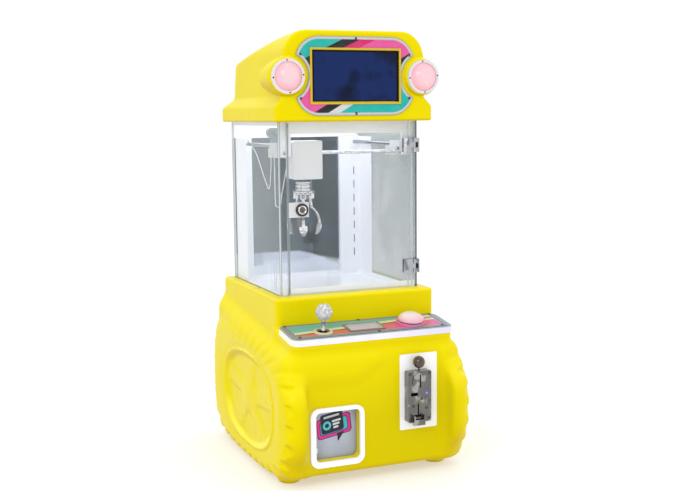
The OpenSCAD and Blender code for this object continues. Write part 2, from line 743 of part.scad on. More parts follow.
module marquee_shell() color(yellow) difference() {
    union() {
        marquee_solid(0);
        lamp_bucket(0);
    }
    difference() {
        translate([0, 0, -mq_wall]) marquee_solid(mq_wall);
        span(-mq_flange_x, mq_flange_x, mq_front, mq_back, mq_bottom - 8, mq_bottom - 1);
    }
    lamp_bucket(mq_wall);
    span(-178, 178, -98, 246, mq_bottom - 1, 884);
    span(-115, 115, mq_front - 1, mq_front + mq_wall + 1, 924, 1048);
    for (i = [0:5]) span(-60 + 20 * i, -50 + 20 * i, mq_rear_y - 20, mq_back, 960, 1000);
}

module marquee_plate() color("#29c3b4") difference() {
    along_y(mq_front - 3, mq_front) polygon(rrect(-159, 159, 890, 1082, 62, 10));
    for (s = [-1, 1]) rod_y(mq_front - 4, mq_front + 1, s * lamp_x, lamp_z, 56);
    span(-116.5, 116.5, mq_front - 4, mq_front + 1, 922.5, 1049.5);
    for (p = plate_screw_places) rod_y(mq_front - 4, mq_front + 1, p[0], p[1], 1.7);
}

module screen_frame() color("#d9b21e") difference() {
    along_y(mq_front - 6, mq_front - 3) polygon(rrect(-121, 121, 918, 1054, 2));
    along_y(mq_front - 7, mq_front - 2) polygon(rrect(-116, 116, 923, 1049, 1));
}

module screen_panel() color("#10142a") {
    span(-114.5, 114.5, mq_front - 4.5, mq_front + 12, 924.5, 1047.5);
}

module lamp_rings() color(white) for (s = [-1, 1]) difference() {
    rod_y(mq_front - 15, mq_front - 7, s * lamp_x, lamp_z, 42);
    rod_y(mq_front - 16, mq_front - 6, s * lamp_x, lamp_z, 35);
    for (a = [5:90:360])
        rod_y(mq_front - 16, mq_front - 6, s * lamp_x + 38.5 * cos(a), lamp_z + 38.5 * sin(a), 0.85);
}

module lamp_domes() color("#f6b9c0") for (s = [-1, 1]) difference() {
    translate([s * lamp_x, mq_front - 7, lamp_z]) rotate([90, 0, 0]) intersection() {
        translate([0, 0, -14.5]) sphere(r = 40.4);
        rod_z(0, 30, 0, 0, 35);
    }
    translate([s * lamp_x, mq_front - 7, lamp_z]) rotate([90, 0, 0]) intersection() {
        translate([0, 0, -14.5]) sphere(r = 37.9);
        rod_z(-1, 30, 0, 0, 33);
    }
}

// ---------- rear service door ----------
module rear_door() color(yellow) difference() {
    union() {
        span(-rdoor_x, rdoor_x, rear_y + 0.4, rear_y + 3.4, rdoor_z0, rdoor_z1);
        for (z = [110, 230]) {
            rod_z(z, z + 30, rhinge[0], rhinge[1], 4.5);
            span(rhinge[0], -rdoor_x, rear_y + 0.6, rear_y + 3.4, z, z + 30);
        }
    }
    for (z = [110, 230]) rod_z(z - 1, z + 31, rhinge[0], rhinge[1], 2.5 + run);
    rod_y(rear_y - 1, rear_y + 4, 108, 190, 8 + run);
}

module rear_hinge() color(chrome) for (z = [110, 230]) {
    rod_z(z - 12, z + 42, rhinge[0], rhinge[1], 2.5);
    difference() {
        union() {
            for (k = [z - 12, z + 30.3]) {
                rod_z(k, k + 11.7, rhinge[0], rhinge[1], 4.5);
                span(rhinge[0] - 22, rhinge[0], rear_y, rear_y + 2, k, k + 11.7);
            }
            span(rhinge[0] - 22, rhinge[0] - 5, rear_y, rear_y + 2, z - 12, z + 42);
        }
        rod_z(z - 13, z + 43, rhinge[0], rhinge[1], 2.5);
    }
}

module rear_lock_plug() color(chrome) {
    rod_y(rear_y - 14, rear_y + 4, 108, 190, 8);
    rod_y(rear_y + 3.6, rear_y + 6, 108, 190, 11);
    span(104, 112, rear_y - 16, rear_y - 14, 152, 198);
}

module control_box() color("#4a5058") difference() {
    span(-70, 60, 140, 240, base_bottom + wall, 110);
    span(-67, 57, 143, 237, base_bottom + wall + 3, 107);
    for (i = [0:4]) span(-50 + 20 * i, -42 + 20 * i, 150, 230, 106, 111);
}

module power_inlet() color(black) difference() {
    union() {
        span(inlet_x - 19, inlet_x + 19, rear_y, rear_y + 2.5, 93, 127);
        span(inlet_x - 13.8, inlet_x + 13.8, rear_y - 24, rear_y, 98.2, 121.8);
    }
    span(inlet_x - 12, inlet_x + 12, rear_y - 18, rear_y + 3, 100, 120);
}

union() {
    base_shell();
    recess_collar();
}
foot_pads();
control_panel();
panel_light_strip();
pan_screws();
joystick_housing();
joystick_collar();
joystick_gimbal();
joystick_shaft();
joystick_ball();
display_unit();
button_housing();
button_dome();
playfield_tray();
chute_fence();
prize_chute();
prize_light_frame();
prize_flap();
flap_hinge_rod();
coin_backplate();
coin_faceplate();
coin_validator();
coin_knob();
cash_box();
rear_posts();
back_mirror();
side_glasses();
header_frame();
ceiling_panel();
side_rails();
bridge_trucks();
bridge_rods();
bridge_motor();
hoist_frame();
hoist_cover();
winch_drum();
hoist_cord();
claw_body();
claw_plunger();
claw_finger_1();
claw_finger_2();
claw_finger_3();
rail_loom();
hoist_loom();
hinge_mounts();
door_glass();
door_hinges();
door_lock_case();
door_lock_plug();
marquee_shell();
marquee_plate();
screen_frame();
screen_panel();
lamp_rings();
lamp_domes();
rear_door();
rear_hinge();
rear_lock_plug();
control_box();
power_inlet();
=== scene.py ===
"""Looks of the claw crane machine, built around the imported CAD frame.

Blender works in metres; every coordinate written here is in millimetres in the frame's axes (X to the viewer's right,
Y to the back, Z up) and is scaled by MM where a mesh is made.
"""
import math

import bpy
import numpy as np
from mathutils import Matrix, Vector


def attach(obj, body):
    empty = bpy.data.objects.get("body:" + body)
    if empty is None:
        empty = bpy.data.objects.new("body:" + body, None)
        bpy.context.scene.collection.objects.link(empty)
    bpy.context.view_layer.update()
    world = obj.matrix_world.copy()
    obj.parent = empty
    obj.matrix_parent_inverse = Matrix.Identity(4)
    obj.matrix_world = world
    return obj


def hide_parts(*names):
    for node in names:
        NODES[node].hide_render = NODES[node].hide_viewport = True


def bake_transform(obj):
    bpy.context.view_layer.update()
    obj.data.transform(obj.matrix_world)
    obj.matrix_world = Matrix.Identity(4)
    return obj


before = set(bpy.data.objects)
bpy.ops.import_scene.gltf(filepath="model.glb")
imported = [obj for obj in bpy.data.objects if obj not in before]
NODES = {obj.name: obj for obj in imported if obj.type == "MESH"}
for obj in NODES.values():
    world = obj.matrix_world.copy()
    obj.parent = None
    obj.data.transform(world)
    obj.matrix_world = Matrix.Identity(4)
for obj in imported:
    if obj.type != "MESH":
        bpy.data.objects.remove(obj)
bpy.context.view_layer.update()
MM = 0.001

# Places shared by materials and meshes, mm
PANEL_Y, PANEL_Z = -160.0, 380.5            # a point on the sloped control panel
PANEL_COS, PANEL_SIN = 0.99002, 0.1409      # its slope
PANEL_UP = (0.0, -PANEL_SIN, PANEL_COS)
STICK = (-120.0, -226.55, 372.6)            # where the joystick's axis meets the panel
WASHER = (-120.0, -227.62, 380.12)          # far enough up the stick to clear the collar when it tilts
BUTTON = (122.0, -216.36, 379.04)
LOCK_X, LOCK_Z = -131.0, 659.5              # axis of the glass door's lock
LOCK_FRONT = (LOCK_X, -126.0, LOCK_Z)
LAMP_X, LAMP_Z = 180.0, 985.0               # axes of the two lamps, at plus and minus X
PLATE_Z = 986.0                             # middle of the marquee's face plate
PLATE_HALF_X, PLATE_HALF_Z, PLATE_CORNER = 159.0, 96.0, 62.0
SIDE_PANE_X = 184.9                         # inner face of the side glasses


# ---------- shader graph helper ----------
class Val:
    """A shader socket with arithmetic, so that a pattern reads as a formula."""

    def __init__(self, nt, socket):
        self.nt, self.socket = nt, socket

    def math(self, op, *others, clamp=False):
        n = self.nt.nodes.new("ShaderNodeMath")
        n.operation, n.use_clamp = op, clamp
        for i, o in enumerate((self, *others)):
            if isinstance(o, Val):
                self.nt.links.new(o.socket, n.inputs[i])
            else:
                n.inputs[i].default_value = o
        return Val(self.nt, n.outputs[0])

    def __add__(self, o):
        return self.math("ADD", o)

    def __sub__(self, o):
        return self.math("SUBTRACT", o)

    def __mul__(self, o):
        return self.math("MULTIPLY", o)

    def above(self, o):
        return self.math("GREATER_THAN", o)

    def below(self, o):
        return self.math("LESS_THAN", o)

    def abs(self):
        return self.math("ABSOLUTE")

    def max(self, o):
        return self.math("MAXIMUM", o)

    def min(self, o):
        return self.math("MINIMUM", o)

    def sqrt(self):
        return self.math("SQRT")

    def clamp(self):
        return self.math("ADD", 0.0, clamp=True)

    def invert(self):
        return (self * -1.0) + 1.0

    def ramp(self, lo, hi):
        """0 at lo, 1 at hi, clamped."""
        n = self.nt.nodes.new("ShaderNodeMapRange")
        n.inputs["From Min"].default_value, n.inputs["From Max"].default_value = lo, hi
        self.nt.links.new(self.socket, n.inputs["Value"])
        return Val(self.nt, n.outputs[0])


def length(a, b):
    return (a * a + b * b).sqrt()


def inside(v, lo, hi):
    """1 where v is between lo and hi."""
    return v.above(lo) * v.below(hi)


def round_box(u, v, half_u, half_v, r):
    """Distance to a rectangle with round corners, as a shader value."""
    qu, qv = u.abs() - (half_u - r), v.abs() - (half_v - r)
    return length(qu.max(0.0), qv.max(0.0)) + qu.max(qv).min(0.0) - r


def panel_along(y, z):
    """Distance up the control panel's slope, for shader values and arrays alike."""
    return (y - PANEL_Y) * PANEL_COS + (z - PANEL_Z) * PANEL_SIN


def panel_above(y, z):
    """Height above the control panel's surface."""
    return (z - PANEL_Z) * PANEL_COS - (y - PANEL_Y) * PANEL_SIN


def rgba(c):
    return (*c[:3], 1.0)


class Look:
    """A material under construction: Principled shader, row-frame coordinates in mm, layered colour."""

    def __init__(self, name, color, rough=0.4, metal=0.0, **sockets):
        self.mat = bpy.data.materials.new(name)
        self.mat.use_nodes = True
        self.nt = self.mat.node_tree
        self.bsdf = self.nt.nodes["Principled BSDF"]
        self.set("Base Color", rgba(color))
        self.set("Roughness", rough)
        self.set("Metallic", metal)
        for k, v in sockets.items():
            self.set(k.replace("_", " "), v)
        self.color = None
        self.base = color
        self.coords = self.nt.nodes.new("ShaderNodeTexCoord").outputs["Object"]

    def set(self, socket, value):
        self.bsdf.inputs[socket].default_value = value
        return self

    def feed(self, socket, val):
        self.nt.links.new(val.socket, self.bsdf.inputs[socket])
        return self

    def xyz(self):
        n = self.nt.nodes.new("ShaderNodeSeparateXYZ")
        self.nt.links.new(self.coords, n.inputs[0])
        return [Val(self.nt, o) * 1000.0 for o in n.outputs]

    def normal(self):
        g = self.nt.nodes.new("ShaderNodeNewGeometry")
        n = self.nt.nodes.new("ShaderNodeSeparateXYZ")
        self.nt.links.new(g.outputs["Normal"], n.inputs[0])
        return [Val(self.nt, o) for o in n.outputs]

    def facing(self, blend=0.3):
        n = self.nt.nodes.new("ShaderNodeLayerWeight")
        n.inputs["Blend"].default_value = blend
        return Val(self.nt, n.outputs["Facing"])

    def noise(self, scale, detail=3.0, rough=0.5, stretch=None):
        """Fractal noise; scale is features per metre."""
        n = self.nt.nodes.new("ShaderNodeTexNoise")
        n.inputs["Scale"].default_value = scale
        n.inputs["Detail"].default_value = detail
        n.inputs["Roughness"].default_value = rough
        source = self.coords
        if stretch:
            m = self.nt.nodes.new("ShaderNodeMapping")
            m.inputs["Scale"].default_value = stretch
            self.nt.links.new(source, m.inputs[0])
            source = m.outputs[0]
        self.nt.links.new(source, n.inputs["Vector"])
        return Val(self.nt, n.outputs["Fac"])

    def paint(self, mask, color):
        """Lays color over what is there, where mask is 1."""
        n = self.nt.nodes.new("ShaderNodeMix")
        n.data_type = "RGBA"
        self.nt.links.new(mask.socket, n.inputs["Factor"])
        if self.color is None:
            n.inputs["A"].default_value = rgba(self.base)
        else:
            self.nt.links.new(self.color, n.inputs["A"])
        n.inputs["B"].default_value = rgba(color)
        self.color = n.outputs["Result"]
        self.nt.links.new(self.color, self.bsdf.inputs["Base Color"])
        return self

    def glow(self, strength, color=None):
        """Emission: one colour, or the painted one."""
        self.set("Emission Strength", strength)
        if color is not None:
            self.set("Emission Color", rgba(color))
        elif self.color is not None:
            self.nt.links.new(self.color, self.bsdf.inputs["Emission Color"])
        return self

    def mottle(self, dark, scale=6.0, share=0.35):
        """Slow colour drift towards dark, as moulded or painted surfaces have."""
        return self.paint(self.noise(scale).ramp(0.35, 0.75) * share, dark)

    def bump(self, height, strength=0.2, distance=0.001):
        n = self.nt.nodes.new("ShaderNodeBump")
        n.inputs["Strength"].default_value = strength
        n.inputs["Distance"].default_value = distance
        self.nt.links.new(height.socket, n.inputs["Height"])
        self.nt.links.new(n.outputs[0], self.bsdf.inputs["Normal"])
        return self

    def rough_noise(self, scale, lo, hi, stretch=None):
        v = self.noise(scale, 4.0, 0.6, stretch).ramp(0.3, 0.7)
        return self.feed("Roughness", v * (hi - lo) + lo)


def finish_node(node, look):
    """Gives a CAD node its material."""
    materials = NODES[node].data.materials
    materials.clear()
    materials.append(look.mat)


# ---------- materials ----------
# The wheel pods' rims: an ellipse seen from the side, mm
RIM_Y, RIM_Z = -10.0, 171.0
RIM_HALF_Y, RIM_HALF_Z = 203.0, 121.0

YELLOW = (0.735, 0.612, 0.0005)
TEAL = (0.0, 0.40, 0.35)
PINK = (0.70, 0.075, 0.29)
MAGENTA = (0.60, 0.0, 0.12)
INK = (0.004, 0.005, 0.007)
FLAP_INK = (0.01, 0.012, 0.03)


def plastic(name, color, rough=0.35, dark=None, grain=900.0, bump=0.05):
    """Moulded or powder-coated surface: slow colour drift, uneven gloss and a fine grain."""
    look = Look(name, color, rough)
    look.mottle(dark or tuple(c * 0.8 for c in color), 9.0)
    look.rough_noise(35.0, rough - 0.06, rough + 0.08)
    look.bump(look.noise(grain, 2.0), bump, 0.0004)
    return look


def metal(name, color, rough=0.2, brushed=None):
    """Bare or plated metal; brushed stretches its grain along one axis."""
    look = Look(name, color, rough, 1.0)
    look.mottle(tuple(c * 0.72 for c in color), 30.0, 0.5)
    look.rough_noise(160.0, rough * 0.7, rough * 1.4 + 0.02, brushed)
    look.bump(look.noise(420.0, 3.0, 0.6, brushed), 0.06, 0.0002)
    return look


def yellow_look():
    """Glossy yellow shell with painted shade under the overhangs, low on the front and in the pods' pockets, painted
    light on top and on the rims' upper lips, and a faint painted glow of its own.
    """
    look = Look("gelcoat_yellow", YELLOW, 0.30, Coat_Weight=0.06, Coat_Roughness=0.08, Specular_IOR_Level=0.08)
    look.set("Specular Tint", (1.0, 0.86, 0.15, 1.0))
    look.mottle((0.69, 0.55, 0.0), 4.0, 0.30)
    x, y, z = look.xyz()
    # painted shade: darker yellow low on the front face
    look.paint(z.ramp(285.0, 150.0) * y.below(-262.0) * x.abs().ramp(225.0, 190.0) * 0.9, (0.60, 0.495, 0.0))
    _, _, nz = look.normal()
    # painted shade on downward-facing surfaces, painted light on upward-facing ones
    look.paint(nz.ramp(-0.04, -0.55) * 0.85, (0.56, 0.40, 0.0))
    look.paint(nz.ramp(0.10, 0.75) * 0.55, (0.90, 0.79, 0.02))
    rim = length((y - RIM_Y) * (1.0 / RIM_HALF_Y), (z - RIM_Z) * (1.0 / RIM_HALF_Z))
    # painted shade in the pods' rim dishes and pockets, painted highlight on the rims' upward-facing lips
    look.paint(rim.ramp(1.0, 0.86) * x.abs().ramp(234.0, 206.0) * 0.75, (0.58, 0.41, 0.0))
    look.paint(inside(rim, 0.90, 1.03) * nz.ramp(0.05, 0.45) * 0.6, (0.95, 0.86, 0.10))
    look.rough_noise(14.0, 0.26, 0.38)
    look.bump(look.noise(11.0, 2.0), 0.12, 0.0018)
    # painted light: a faint glow of its own brightens the whole shell
    return look.glow(0.07)


yellow = yellow_look()
chrome = metal("chrome_bright", (0.80, 0.81, 0.84), 0.10)
# painted reflections: darker towards grazing angles, with dark streaks
chrome.paint(chrome.facing(0.5).ramp(0.28, 0.70) * 0.85, (0.15, 0.165, 0.19))
chrome.paint(chrome.noise(95.0, 3.0, 0.55, (1.0, 1.0, 2.4)).ramp(0.50, 0.60) * 0.45, (0.16, 0.17, 0.19))
steel = metal("steel_bare", (0.50, 0.51, 0.53), 0.28, (1.0, 1.0, 12.0))
galvanised = metal("sheet_galvanised", (0.50, 0.52, 0.55), 0.36)
# painted light: the white paint and the coin plate glow faintly though they are no lamps
white_paint = plastic("powder_white", (0.80, 0.82, 0.86), 0.42, (0.74, 0.77, 0.83), 1500.0, 0.10).glow(0.10)
plate_white = plastic("coin_plate_white", (0.80, 0.80, 0.79), 0.34, (0.72, 0.73, 0.76), 1500.0, 0.10).glow(0.16)
white_plastic = plastic("plastic_white", (0.72, 0.70, 0.71), 0.30)
black_plastic = plastic("plastic_black", (0.02, 0.02, 0.023), 0.42, (0.035, 0.035, 0.04))
cream = plastic("plastic_cream", (0.66, 0.58, 0.36), 0.32)
# painted light: the pale grey cover glows faintly though it is no lamp
cover_grey = plastic("cover_pale_grey", (0.66, 0.67, 0.685), 0.36, (0.60, 0.61, 0.63)).glow(0.05)
motor_grey = plastic("motor_grey", (0.20, 0.235, 0.25), 0.34, (0.10, 0.12, 0.135))
box_grey = plastic("box_grey", (0.06, 0.075, 0.09), 0.5)
blue_plastic = plastic("validator_blue", (0.03, 0.08, 0.24), 0.4)
chute_grey = plastic("chute_grey", (0.42, 0.43, 0.46), 0.5)
cord_white = plastic("cord_white", (0.70, 0.70, 0.73), 0.55, None, 2600.0, 0.5)
led_blue = Look("led_blue", (0.05, 0.04, 0.6), 0.2)
led_blue.mottle((0.02, 0.02, 0.4), 400.0)
led_blue.glow(3.0, (0.12, 0.08, 1.0))


def dark_metal(name, color, rough):
    """Polished dark plating with painted reflections: lighter towards grazing angles, with yellowish patches for the
    yellow shell reflected in it.
    """
    look = metal(name, color, rough)
    # painted reflections: lighter towards grazing angles, and yellowish patches for the reflected yellow shell
    look.paint(look.facing(0.45).ramp(0.15, 0.85) * 0.65, tuple(c * 2.3 for c in color))
    look.paint(look.noise(18.0, 3.0).ramp(0.55, 0.75) * 0.25, (0.42, 0.36, 0.08))
    return look


dark_chrome = dark_metal("chrome_dark", (0.165, 0.16, 0.15), 0.20)
# painted reflections: bright and dark patches
dark_chrome.paint(dark_chrome.noise(34.0, 3.0, 0.5).ramp(0.56, 0.64) * 0.5, (0.55, 0.55, 0.53))
dark_chrome.paint(dark_chrome.noise(22.0, 2.0, 0.5).ramp(0.46, 0.38) * 0.6, (0.07, 0.068, 0.06))
knob_metal = dark_metal("chrome_knob", (0.115, 0.095, 0.08), 0.14)


def diffuser(name, color, strength, edge=(0.62, 0.59, 0.76)):
    """Lit frosted plastic."""
    look = Look(name, (0.70, 0.70, 0.75), 0.35)
    look.paint(look.noise(22.0, 2.0).ramp(0.4, 0.75) * 0.5, edge)
    look.bump(look.noise(900.0, 2.0), 0.05, 0.0004)
    return look.glow(strength, color)


frame_lit = diffuser("frame_lit", (0.90, 0.90, 1.0), 0.30)
ceiling_lit = diffuser("ceiling_lit", (0.95, 0.97, 1.0), 1.9)
floor_lit = diffuser("floor_lit", (0.86, 0.92, 1.0), 0.22, (0.60, 0.66, 0.78))


def glass_look(name, tint, edge, face_alpha=0.07, edge_alpha=0.85, side=None, loose=False):
    """Clear pane with denser cut edges and seams, a painted reflection line at x 165, a painted grey-teal reflection
    veil on the far right pane and a painted sheen towards the upper right.

    side is the |x| past which the pane's faces look along X; loose is for a pane whose walls face both ways.
    """
    look = Look(name, tint, 0.04, IOR=1.5, Specular_IOR_Level=0.4)
    nx, ny, _ = look.normal()
    x, _, z = look.xyz()
    across = nx.abs().max(ny.abs()) if loose else nx.abs() if side is not None else ny.abs()
    if side is not None:
        strip = x.abs().below(side)
        across = across * strip.invert() + ny.abs() * strip
    cut_edge = across.ramp(0.6, 0.3)
    rim = cut_edge
    # the line at x 165 is a painted reflection line
    for place, half in ((-162.0, 0.9), (-166.6, 0.7), (-184.0, 0.7), (174.6, 0.8), (165.0, 0.6)):
        rim = rim.max((x - place).abs().below(half) * 0.75)
    streaks = look.noise(5.0, 3.0, 0.6, (1.0, 1.0, 0.25)).ramp(0.35, 0.75)
    look.paint(rim, edge)
    # painted reflection: a grey-teal veil over the far right pane; its colour here, its opacity further down
    far_pane = x.above(SIDE_PANE_X) * cut_edge.invert()
    look.paint(far_pane, (0.27, 0.325, 0.33))
    look.paint(cut_edge * x.above(SIDE_PANE_X), (0.035, 0.075, 0.09))
    look.paint(cut_edge * (x.abs() - 187.4).abs().below(1.5) * x.below(0.0), (0.62, 0.68, 0.70))
    if side is None and not loose:
        look.paint(inside(x, 169.5, 177.5), (0.60, 0.64, 0.67))
    f = look.facing(0.25)
    # painted sheen: a reflection brightening the upper right of the panes, added to the opacity
    sheen = (z - x * 0.5).ramp(500.0, 760.0) * x.ramp(60.0, 190.0) * 0.10
    # painted reflection: opacity of the far right pane's veil
    reflection_veil = far_pane * (look.noise(9.0, 3.0, 0.55).ramp(0.3, 0.7) * 0.16 + 0.29)
    alpha = (streaks * 0.05 + (f * f * 0.35 + sheen + face_alpha) + reflection_veil).max(rim * edge_alpha)
    look.feed("Alpha", alpha.clamp())
    look.rough_noise(40.0, 0.02, 0.07)
    return look


pane_side = glass_look("glass_side", (0.72, 0.77, 0.78), (0.22, 0.28, 0.30), 0.04, 0.85, 184.95)
pane_front = glass_look("glass_front", (0.66, 0.71, 0.73), (0.26, 0.33, 0.36), 0.05, 0.8)
acrylic = glass_look("acrylic_clear", (0.70, 0.74, 0.78), (0.50, 0.56, 0.62), 0.06, 0.6, None, True)


def plate_look():
    """Face plate: diagonal bands inside a pale silver trim with lamp notches, and a painted shadow along the trim's
    outer edge.
    """
    look = Look("plate_print", TEAL, 0.30, Coat_Weight=0.15, Coat_Roughness=0.06, Specular_IOR_Level=0.3)
    x, _, z = look.xyz()
    t = z * 0.905 - x * 0.425
    look.paint(t.below(987.5), INK)
    look.paint(t.below(968.0), MAGENTA)
    look.paint(t.below(950.0), PINK)
    look.paint(x.below(-118.0) * z.below(1011.0) * z.above(985.0), MAGENTA)
    low = z * 0.87 - x * 0.49
    look.paint(low.below(836.0), INK)
    look.paint(low.below(817.0), (0.58, 0.60, 0.58))
    look.paint(low.below(802.0), TEAL)
    look.paint(look.noise(30.0).ramp(0.4, 0.8) * 0.07, (0.7, 0.7, 0.7))
    edge = round_box(x, z - PLATE_Z, PLATE_HALF_X, PLATE_HALF_Z, PLATE_CORNER)
    notch = length(x.abs() - LAMP_X, z - LAMP_Z).invert() + 55.0
    d = edge.max(notch)
    look.paint(d.above(-7.5), (0.56, 0.57, 0.56))
    # painted shadow: a darker band along the outer edge of the trim
    look.paint(d.above(-2.6), (0.34, 0.35, 0.34))
    return look


def panel_look():
    """Control panel: slightly slanted stripes in a grey border with a thin dark line."""
    look = Look("panel_print", (0.66, 0.62, 0.50), 0.30, Coat_Weight=0.2, Coat_Roughness=0.08,
                Specular_IOR_Level=0.35)
    x, y, z = look.xyz()
    v = panel_along(y, z)
    w = v - x * 0.12
    look.paint(w.above(-37.0), (0.075, 0.41, 0.42))
    look.paint(w.below(-51.0), (0.16, 0.095, 0.004))
    look.paint(w.below(-57.5), (0.62, 0.085, 0.11))
    look.paint(inside(w, -71.0, -57.5) * x.above(92.0), (0.66, 0.56, 0.58))
    look.paint(w.below(-72.0) * x.above(40.0), (0.66, 0.06, 0.26))
    look.paint(w.below(-84.0) * x.below(40.0), (0.50, 0.075, 0.10))
    look.paint(look.noise(120.0, 4.0).ramp(0.5, 0.8) * 0.12, (0.75, 0.75, 0.75))
    e = ((x.abs() - 206.0) * -1.0).min(v.abs().min((v + 103.0).abs()))
    look.paint(e.below(13.0), (0.27, 0.32, 0.37))
    look.paint(inside(e, 6.6, 9.0), (0.02, 0.035, 0.04))
    look.paint(e.below(2.4), (0.13, 0.17, 0.19))
    return look


def screen_look():
    """Switched-on but dark display: deep blue clouds and darker patches inside a black border."""
    look = Look("screen_dark", (0.003, 0.004, 0.012), 0.12, Specular_IOR_Level=0.10)
    x, _, z = look.xyz()
    look.paint(look.noise(9.0, 4.0, 0.55).ramp(0.34, 0.50), (0.0045, 0.013, 0.062))
    look.paint(look.noise(24.0, 3.0, 0.5).ramp(0.55, 0.75) * 0.6, (0.003, 0.007, 0.030))
    look.paint((x * 0.6 + z).ramp(1090.0, 1062.0).invert() * 0.9, (0.004, 0.005, 0.014))
    look.paint(length(x + 4.0, (z - 985.0) * 0.8).ramp(20.0, 7.0) * 0.75, (0.003, 0.005, 0.022))
    border = ((x + 1.0).abs() - 110.0).max((z - 985.5).abs() - 58.5)
    look.paint(border.above(0.0), (0.002, 0.002, 0.004))
    look.glow(0.75)
    return look


def flap_look():
    """Prize flap: smoky sheet with a generic speech-bubble sticker and a small tag."""
    look = Look("flap_print", (0.38, 0.42, 0.55), 0.18, Specular_IOR_Level=0.35)
    look.paint(look.noise(20.0, 3.0).ramp(0.35, 0.7) * 0.6, (0.50, 0.53, 0.66))
    x, _, z = look.xyz()
    # the sticker's own axes, a little turned and sheared
    u = (x + 103.5) + (z - 140.0) * 0.10
    v = (z - 143.0) - (x + 103.5) * 0.17

    def patch(half_u, half_v, r, at_u, at_v, color):
        look.paint(round_box(u - at_u, v - at_v, half_u, half_v, r).below(0.0), color)

    patch(46.0, 26.0, 10.0, 2.0, -4.0, (0.02, 0.01, 0.03))
    patch(44.0, 24.0, 9.0, 2.0, -4.0, (0.72, 0.02, 0.30))
    patch(37.5, 18.0, 7.0, 2.0, -4.0, (0.02, 0.01, 0.03))
    patch(35.5, 16.0, 6.0, 2.0, -4.0, (0.05, 0.45, 0.55))
    patch(30.0, 25.0, 7.0, -2.0, 6.0, FLAP_INK)
    tail = inside(v, -44.0, -24.0) * u.above(8.0) * (u - 26.0 - (v + 26.0) * 0.9).below(0.0)
    look.paint(tail, FLAP_INK)
    patch(11.0, 11.0, 11.0, -16.0, 1.0, (0.08, 0.52, 0.62))
    patch(5.5, 5.5, 5.5, -16.0, 1.0, FLAP_INK)
    for k in range(3):
        patch(12.0 - 2.5 * k, 2.6, 2.6, 10.0 - 1.5 * k, 8.5 - 8.0 * k, (0.62, 0.64, 0.70))
    patch(21.0, 2.6, 2.6, -2.0, 22.0, (0.56, 0.58, 0.66))
    look.paint(inside(x, -152.0, -144.0) * inside(z, 76.0, 88.0), (0.75, 0.77, 0.84))
    look.paint(inside(x, -152.0, -134.0) * inside(z, 109.0, 109.8), (0.12, 0.12, 0.20))
    return look


def dome_look(name, base, rim, strength, axis, warm=None):
    """Translucent dome with painted light: pale where it faces out and deeper in colour towards its rim, and with
    warm also towards its right side; axis 1 faces the front, axis 2 faces up.
    """
    look = Look(name, base, 0.26, Coat_Weight=0.4, Coat_Roughness=0.08, Subsurface_Weight=0.15)
    look.set("Subsurface Radius", (0.01, 0.006, 0.006))
    if warm is not None:
        # painted light: deeper colour towards the right side
        look.paint(look.xyz()[0].ramp(*warm) * 0.75, rim)
    # painted light: pale where the dome faces out, deeper colour towards the rim
    look.paint(look.normal()[axis].abs().ramp(0.92, 0.45) * 0.55, rim)
    look.paint(look.noise(70.0, 3.0).ramp(0.55, 0.75) * 0.12, (0.9, 0.8, 0.82))
    look.bump(look.noise(300.0, 2.0), 0.06, 0.0004)
    return look.glow(strength)


def mirror_look():
    """Smoked mirror with painted reflections: dark and grey-blue clouds, a paler left side, pale patches, and at its
    foot a painted reflection of the lit floor.
    """
    look = Look("mirror_smoked", (0.098, 0.125, 0.150), 0.05, 1.0)
    x, _, z = look.xyz()
    # painted reflections: darker and grey-blue clouds, a paler left side and pale patches
    look.paint(look.noise(7.0, 5.0, 0.6).ramp(0.35, 0.7) * 0.8, (0.060, 0.078, 0.095))
    reflection_clouds = look.noise(11.0, 4.0, 0.6, (1.0, 1.0, 0.7)).ramp(0.45, 0.75)
    look.paint(reflection_clouds * x.ramp(-20.0, 80.0) * 0.9, (0.13, 0.19, 0.30))
    look.paint(x.ramp(-40.0, -170.0) * 0.8, (0.27, 0.315, 0.34))
    look.paint(look.noise(26.0, 4.0, 0.6).ramp(0.55, 0.8) * 0.35, (0.20, 0.23, 0.23))
    # painted reflection of the lit floor at the mirror's foot
    floor_edge = z - (x.ramp(0.0, 120.0) * -30.0)
    look.paint(floor_edge.ramp(512.0, 506.0) * 0.9, (0.78, 0.82, 0.90))
    look.paint(look.normal()[1].above(0.5), (0.075, 0.08, 0.088))
    look.rough_noise(12.0, 0.03, 0.12)
    return look


dome_pink = dome_look("dome_pink", (0.80, 0.46, 0.50), (0.84, 0.18, 0.25), 0.22, 1)
dome_button = dome_look("dome_button", (0.70, 0.62, 0.62), (0.80, 0.28, 0.38), 0.10, 2, (118.0, 165.0))
button_pink = plastic("button_pink", (0.78, 0.24, 0.45), 0.26)
ball_clear = Look("ball_clear", (0.66, 0.655, 0.665), 0.10, Coat_Weight=0.6, Transmission_Weight=0.15)
ball_clear.mottle((0.34, 0.33, 0.33), 110.0, 0.8)
# painted glints: bright specks on the ball
ball_clear.paint(ball_clear.noise(150.0, 2.0).ramp(0.56, 0.62), (0.92, 0.92, 0.94))
